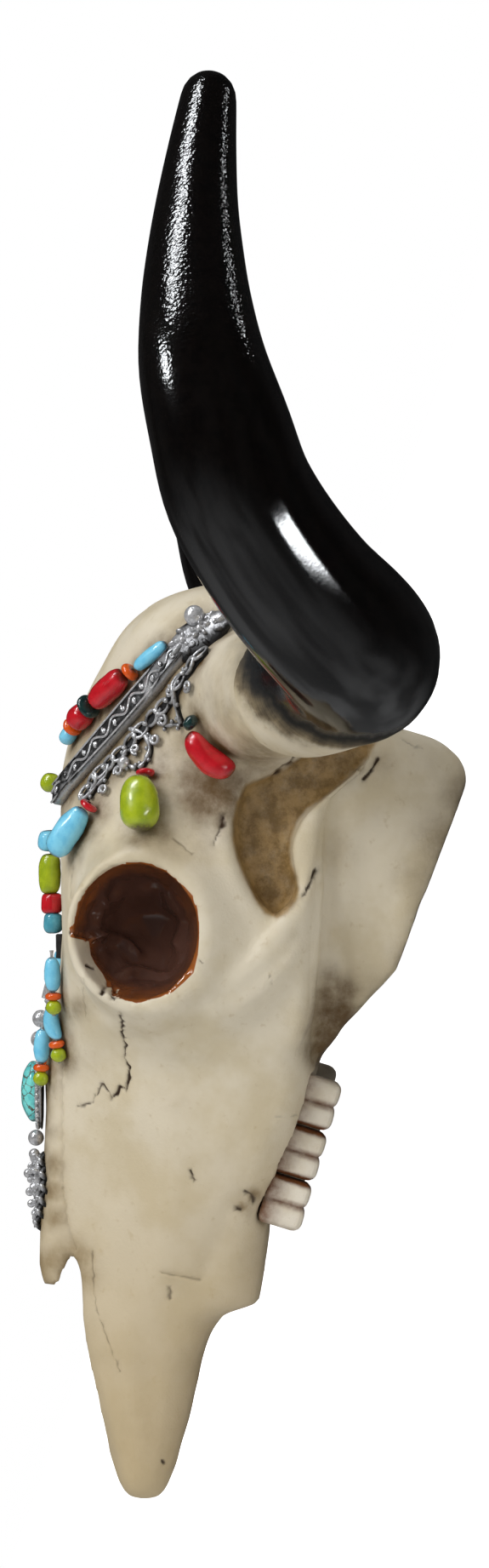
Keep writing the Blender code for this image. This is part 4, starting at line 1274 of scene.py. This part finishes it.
def make_chain(surface):
    """The openwork chain under the bar: flat oval links on a dark bed, with scrolls down to the drops."""
    band = surface.path(BAND, 1.3, 5)
    parts = [strip_along([(p - w * 1.0, w) for p, w in band], 1.5, 0.8)]
    total = sum((b[0] - a[0]).length for a, b in zip(band, band[1:]))
    count = round(total / 4.3)
    first = link(4.9, 3.4, 0.5)
    for k in range(count):
        place, ahead, side, way = frame_at(band, (k + 0.5) / count)
        lean = Matrix.Rotation(math.radians(14 if k % 2 else -10), 3, "Y")
        twin = copy_of(first, "link")
        put(twin, place, Matrix((ahead, side, way)).transposed() @ lean)
        parts.append(twin)
        joint = frame_at(band, min(1.0, (k + 1) / count))[0]
        parts.append(ball(joint + way * 0.3, (0.8, 0.8, 0.6), 10, 8))
    bpy.data.objects.remove(first)
    for points, thick in SWAGS:
        path = surface.path(points, 1.1, 5)
        swelling = [thick * (1.0 + 0.35 * math.sin(k * 1.1)) for k in range(len(path))]
        parts.append(wire([p for p, _ in path], swelling, 2))
        parts.append(wire([p - w * 0.8 for p, w in path], [thick * 1.1] * len(path), 1))
        for k in range(2, len(path) - 1, 4):
            place, _, side, _ = frame_at(path, k / (len(path) - 1))
            parts.append(round_ball(place + side * (0.9 if k % 8 == 2 else -0.9), 0.6, 10, 8))
    for u, v, size in SCROLLS:
        place, out = surface.seen(u, v, 1.3)
        hand = 1 if (u + v) % 2 else -1
        parts.append(curl_wire(place, out, UP - out * UP.dot(out), size, 1.3 * hand, 0.7 * u, 0.5))
    parts.append(round_ball(surface.seen(*CHAIN_BALL, 1.6)[0], 1.7, 20, 12))
    finish_silver(parts, "link_chain_left", surface, 2.9, ["chain_left"])


def petal(size, rough=0.0, seed=0.0):
    """A flattened drop, wider at its outer end."""
    made = ball((0, 0, 0), size, 12, 8, 2.0, lambda z: 0.85 + 0.3 * z)
    if rough:
        roughen(made, 1.0, rough, seed)
    return made


def petal_ring(middle, out, up, count, reach, size, lift, tilt=0.5):
    """Petals set round a middle, each leaning outwards."""
    made = []
    side = up.cross(out).normalized()
    for k in range(count):
        turn = math.tau * (k + 0.25) / count
        way = side * math.cos(turn) * reach[0] + up * math.sin(turn) * reach[1]
        axis = (way.normalized() + out * tilt).normalized()
        leaf = petal(size, 0.12, k)
        put(leaf, middle + way + out * lift, turn_to(axis, out.cross(axis)))
        made.append(leaf)
    return made


CURL_POINTS = 22


def curl_wire(middle, out, up, size, turns, start, thick):
    """A wire that curls inwards and rises a little."""
    side = up.cross(out).normalized()
    points = []
    for k in range(CURL_POINTS):
        turn = start + turns * math.tau * k / (CURL_POINTS - 1)
        reach = size * (1 - k / 26)
        across = side * (reach * math.cos(turn)) + up * (reach * math.sin(turn))
        points.append(middle + across + out * (0.02 * k))
    return wire(points, [thick] * CURL_POINTS, 1)


# Rosette: how far up and out each ball sits, with its radius
ROSETTE_BALLS = [(1.5, 2.7, 1.0), (-4.0, 2.4, 0.9), (5.8, 1.9, 0.8)]

# Rosette curls: how far up, aside and out, reach, turns, start and wire radius
ROSETTE_CURLS = [
    (-2.0, 2.6, 1.8, 1.7, 1.4, 0.5, 0.42), (4.2, -2.0, 1.8, 1.6, 1.3, 2.5, 0.42),
    (-5.6, -1.0, 1.2, 1.5, 1.2, 4.0, 0.4),
]


def make_rosette(surface):
    """A cast cluster of petals, curls and balls at the root of the horn."""
    middle, out = surface.seen(*ROSETTE_AT, 1.2)
    up = Vector((0.0, 0.92, 0.4))
    up = (up - out * up.dot(out)).normalized()
    side = up.cross(out).normalized()
    bed = ball((0, 0, 0), (6.0, 9.2, 2.2), 28, 16, 2.6)
    roughen(bed, 2.0, 0.7, 3)
    put(bed, middle, Matrix((side, up, out)).transposed())
    parts = [bed]
    parts += petal_ring(middle, out, up, 9, (3.9, 6.6), (0.9, 1.6, 2.1), 0.9)
    parts += petal_ring(middle + up * 1.5, out, up, 5, (1.6, 1.9), (0.7, 1.1, 1.4), 2.1, 0.9)
    parts += petal_ring(middle - up * 4.0, out, up, 5, (1.5, 1.7), (0.7, 1.1, 1.4), 1.6, 0.8)
    for height, lift, size in ROSETTE_BALLS:
        parts.append(round_ball(middle + up * height + out * lift, size))
    for height, aside, lift, reach, turns, start, thick in ROSETTE_CURLS:
        place = middle + up * height + side * aside + out * lift
        parts.append(curl_wire(place, out, up, reach, turns, start, thick))
    parts.append(round_ball(surface.seen(*ROSETTE_BALL, 3.6)[0], 2.7, 24, 16))
    finish_silver(parts, "rosette_cluster_left", surface, 6.0, ["rosette_left"])


def face_at(surface, height, aside=0.0):
    """The front of the bone at a height, and the way out of it there."""
    point, out, _, _ = surface.tree.ray_cast(Vector((aside, -120.0, height)), -FRONT)
    return point, out


def on_face(surface, height, lift):
    return face_at(surface, height)[0] + FRONT * lift


def make_silver_balls():
    for node in ("silver_ball_1", "silver_ball_2", "silver_knob"):
        middle, _, _, radius = lie_of(node)
        radius *= 1.2
        piece = round_ball(middle, radius, 26, 18)
        roughen(piece, 1.5, 0.06, radius)
        depths = [max(0.0, (v.co.y - middle.y) / radius) for v in piece.data.vertices]
        paint(piece, "proud", [0.95 - 0.5 * depth for depth in depths])
        piece.name = f"bright_{node}"
        settle(piece, SILVER, [node])


# Pendant stem: heights and reach of its curls
STEM_CURLS = [(-58.5, 1.9), (-62.5, 2.3), (-67.0, 2.3), (-71.0, 1.9)]


def make_stem(surface):
    """A tube with two collars, and a spine with curls on both sides down to the stone."""
    top, _ = face_at(surface, -48.0)
    tube = [Vector((0, top.y - 1.2 - k * 0.95, -49.0 - k * 3.0)) for k in range(4)]
    parts = [wire(tube, [1.25, 1.4, 1.4, 1.2], 3)]
    for height in (-51.5, -56.5):
        parts.append(ball(Vector((0, top.y - 2.2, height)), (1.7, 1.7, 0.5), 16, 8))
    for sign in (-1, 1):
        for height, reach in STEM_CURLS:
            place = on_face(surface, height, 1.0) + Vector((sign * 2.0, 0, 0))
            parts.append(curl_wire(place, FRONT, UP, reach, 1.4 * sign, 1.2, 0.42))
            parts.append(round_ball(place + FRONT * 0.5, 0.7, 10, 8))
    spine = [on_face(surface, -56.0 - 3.0 * k, 0.9) for k in range(7)]
    parts.append(wire(spine, [0.8] * 7, 2))
    finish_silver(parts, "pendant_stem", surface, 2.6, paired=False)


RIM_BEADS = 30
RIM_STEPS = 48


def make_stone(surface):
    """The bezel with its beaded rim, and the stone in it."""
    low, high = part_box("stone_setting")
    middle = STAND @ ((low + high) / 2)
    setting = upright_copy("stone_setting", "stone_bezel")
    round_off(setting, 2)
    places = corners_of(setting)
    rim_y = places[:, 1].min()
    half_wide, _, half_tall = np.ptp(places, axis=0) / 2

    def on_rim(share, wide, tall, lift, rise=0.0):
        turn = math.tau * share
        across, up = half_wide * wide * math.cos(turn), half_tall * tall * math.sin(turn)
        return Vector((across, rim_y - lift, middle.z + rise + up))

    parts = [setting]
    for k in range(RIM_BEADS):
        parts.append(round_ball(on_rim(k / RIM_BEADS, 0.93, 0.94, 0.0), 0.62, 8, 6))
    rim = [on_rim(k / RIM_STEPS, 0.82, 0.83, 0.25, 0.4) for k in range(RIM_STEPS)]
    parts.append(wire(rim, [0.45] * RIM_STEPS, 1, closed=True))
    finish_silver(parts, "stone_bezel", surface, 3.2, ["stone_setting"], paired=False)

    stone = upright_copy("turquoise_stone", "turquoise_cabochon")
    round_off(stone, 3)
    roughen(stone, 3.0, 0.18, 5)
    settle(stone, TURQUOISE, ["turquoise_stone"])


# Blossom: rows and columns of petals down each side, and the balls' height, radius and lift
BLOSSOM_ROWS = 6
BLOSSOM_COLUMNS = 4
BLOSSOM_BALLS = [(3.0, 1.3, 3.0), (-2.0, 1.2, 2.6), (-5.2, 1.1, 2.2), (8.2, 1.5, 1.4), (-9.0, 1.0, 1.0)]


def make_blossom(surface):
    """A cast cluster down the nose, its petals following the bone on both sides."""
    middle = on_face(surface, -108.2, 1.0)
    bed = ball((0, 0, 0), (3.9, 8.6, 1.5), 26, 14, 2.4)
    roughen(bed, 2.0, 0.5, 8)
    put(bed, middle, Matrix(((1, 0, 0), (0, 0, 1), (0, -1, 0))))
    parts = [bed]
    parts += petal_ring(middle + UP * 3.0, FRONT, UP, 6, (3.6, 3.6), (0.8, 1.6, 2.3), 0.7, 0.5)
    parts += petal_ring(middle + UP * 3.0, FRONT, UP, 5, (1.6, 1.6), (0.7, 1.2, 1.5), 1.9, 1.0)
    parts += petal_ring(middle - UP * 5.0, FRONT, UP, 6, (2.6, 2.8), (0.7, 1.3, 1.8), 0.7, 0.5)
    for k in range(BLOSSOM_ROWS * BLOSSOM_COLUMNS):
        row, column = divmod(k, BLOSSOM_COLUMNS)
        aside = (1.8 * column + 1.6) * math.sin(math.pi * (row + 1.6) / 8)
        point, out = face_at(surface, -101.0 - 3.4 * row - column % 2, aside)
        place = point + out * 0.8
        along = (UP + FRONT * (0.8 if k % 2 else -0.6)).normalized()
        for sign in (1, -1):
            across = Vector((sign, 1, 1))
            leaf = petal((0.8, 1.2, 1.9))
            put(leaf, place * across, turn_to(along, out * across))
            parts.append(leaf)
    for height, size, lift in BLOSSOM_BALLS:
        parts.append(round_ball(middle + UP * height + FRONT * lift, size))
    finish_silver(parts, "blossom_cluster", surface, 2.6, ["silver_blossom"], paired=False)


def make_strap():
    strap = upright_copy("strap", "leather_strap")
    apply_modifier(strap, "BEVEL", width=0.25, segments=2)
    round_off(strap, 2, subdivision_type="SIMPLE")
    roughen(strap, 1.2, 0.12, 2)
    settle(strap, STRAP, ["strap"])


def ornament_surface():
    """All the ornaments' solids as one surface, for the wash and the painted shade round them."""
    points, faces = [], []
    for name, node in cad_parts.items():
        if name.startswith(("skull", "horn", "tooth")):
            continue
        start = len(points)
        points += [STAND @ v.co for v in node.data.vertices]
        faces += [tuple(start + i for i in p.vertices) for p in node.data.polygons]
    return Surface(points, faces)


def make_all():
    bone = make_bone()
    points = [v.co.copy() for v in bone.data.vertices]
    surface = Surface(points, [tuple(p.vertices) for p in bone.data.polygons])
    make_beads()
    for name in ("outer", "middle", "inner"):
        make_dangle(name)
    for make in (make_bar, make_chain, make_rosette):
        make(surface)
    make_silver_balls()
    for make in (make_stem, make_stone, make_blossom):
        make(surface)
    make_strap()
    for index, name in enumerate(("back", "middle", "front")):
        settle_pair(make_tooth(f"molar_{name}_left", index), TOOTH, [f"tooth_{name}_left"])
    settle_pair(make_horn(), HORN_BLACK, ["horn_left"])
    paint_bone(bone, ornament_surface())
    settle(bone, BONE, ["skull"])


make_all()


# Studio

FLOOR_TONES = ((0.8, 0.8, 0.8, 1.0), (0.78, 0.78, 0.78, 1.0))
WHITE = (1.0, 1.0, 1.0, 1.0)
LIT = (1.0, 0.99, 0.97, 1.0)
MIRRORED = (0.96, 0.98, 1.0, 1.0)


def make_floor():
    """A plain pale floor. It shows white to the camera and is left out of reflections."""
    deselect()
    bpy.ops.mesh.primitive_plane_add(size=6.0, location=(0.0, 0.0, 0.0))
    floor = bpy.context.object
    floor.name = "floor"
    finish = Finish("pale floor", roughness=0.8)
    dust = spread(finish.tree, speckle(finish.tree, finish.place, 0.02, 3.0, 0.5), 0.3, 0.7)
    finish.feed("Base Color", blend(finish.tree, dust, *FLOOR_TONES))
    finish.feed("Emission Color", WHITE)
    ray = add(finish.tree, "ShaderNodeLightPath")
    finish.feed("Emission Strength", ray.outputs["Is Camera Ray"])
    floor.data.materials.append(finish.material)
    floor.visible_glossy = False


def soft_light(name, place, aim, size, power, tint=(1.0, 1.0, 1.0), roll=0.0, mirrored=True):
    """A soft box placed round the upright skull, in millimetres.

    Size is its width and height. It either lights the piece or, mirrored, shows in its gloss alone.
    """
    deselect()
    bpy.ops.object.light_add(type="AREA")
    lamp = bpy.context.object
    lamp.name = name
    lamp.data.shape = "RECTANGLE"
    lamp.data.size = size[0] * MM
    lamp.data.size_y = size[1] * MM
    lamp.data.energy = power
    lamp.data.color = tint
    back = (LAID.to_3x3() @ (Vector(place) - Vector(aim))).normalized()
    right = (LAID.to_3x3() @ UP).cross(back).normalized()
    turn = Matrix((right, back.cross(right), back)).transposed()
    turn = turn @ Matrix.Rotation(math.radians(roll), 3, "Z")
    lamp.matrix_world = Matrix.Translation(LAID @ Vector(place)) @ turn.to_4x4()
    lamp.visible_glossy = mirrored
    lamp.visible_diffuse = not mirrored


def towards(centre, azimuth, elevation, distance):
    """A place seen from a centre at an azimuth from the camera's side and an elevation, in degrees."""
    flat = math.cos(math.radians(elevation))
    way = Vector((
        flat * math.cos(math.radians(azimuth)), flat * math.sin(math.radians(azimuth)),
        math.sin(math.radians(elevation)),
    ))
    return Vector(centre) + way * distance


def mix_by_ray(tree, ray, otherwise, shown):
    return add(tree, "ShaderNodeMixShader", {0: ray, 1: otherwise, 2: shown}).outputs[0]


def background(tree, colour, strength):
    return add(tree, "ShaderNodeBackground", {"Color": colour, "Strength": strength}).outputs[0]


def make_world():
    """White to the camera, even light on the bone, and darker in gloss except from below the snout."""
    world = bpy.data.worlds.new("studio")
    bpy.context.scene.world = world
    world.use_nodes = True
    tree = world.node_tree
    tree.nodes.clear()
    way = add(tree, "ShaderNodeTexCoord").outputs["Generated"]
    down = tuple((LAID.to_3x3() @ UP).normalized() * -1)
    lean = add(tree, "ShaderNodeVectorMath", {0: way, 1: down}, operation="DOT_PRODUCT").outputs["Value"]
    patches = spread(tree, speckle(tree, way, 2.2, 2.0, 0.5), 0.35, 0.62, 0.45, 1.15)
    low = times(tree, spread(tree, lean, 0.1, 1.0, 0.03, 0.62), patches)
    ray = add(tree, "ShaderNodeLightPath").outputs
    lit, mirrored = background(tree, LIT, WORLD_LIGHT), background(tree, MIRRORED, low)
    seen = mix_by_ray(tree, ray["Is Glossy Ray"], lit, mirrored)
    seen = mix_by_ray(tree, ray["Is Camera Ray"], seen, background(tree, WHITE, 1.0))
    add(tree, "ShaderNodeOutputWorld", {0: seen})


# What the lights aim at: the beads, the upper horn and the horn's bend
BEADS = (50.0, -20.0, 0.0)
UPPER = (140.0, -12.0, 130.0)
BEND = (158.0, 10.0, 52.0)
COOL = (0.94, 0.97, 1.0)


def make_studio():
    make_world()
    soft_light("key", (560, -560, 420), (40, -20, 0), (420, 420), 3.6, mirrored=False)
    soft_light("fill", (760, 380, 60), (40, 0, 0), (500, 500), 2.1, mirrored=False)
    soft_light("bead glint", towards(BEADS, -64, 28, 500), BEADS, (90, 90), 0.75, COOL)
    soft_light("horn streak", towards(UPPER, -78, 57, 800), UPPER, (150, 420), 4.8, COOL)
    soft_light("horn side glint", towards(UPPER, 107, 39, 500), UPPER, (60, 24), 0.09, COOL)
    soft_light("horn window", towards(BEND, 53, -11, 520), BEND, (210, 38), 1.3, COOL, roll=37.0)
    bpy.context.scene.view_settings.view_transform = "Standard"


def make_camera():
    deselect()
    bpy.ops.object.camera_add()
    camera = bpy.context.object
    camera.data.lens = LENS
    camera.data.sensor_width = SENSOR
    camera.data.clip_start = 0.05
    camera.data.clip_end = 20.0
    up = (LAID.to_3x3() @ UP).normalized()
    back = Vector((1.0, 0.0, 0.0))
    right = up.cross(back)
    camera.matrix_world = Matrix.Translation(LAID @ EYE) @ Matrix((right, up, back)).transposed().to_4x4()
    bpy.context.scene.camera = camera


make_floor()
make_studio()
make_camera()
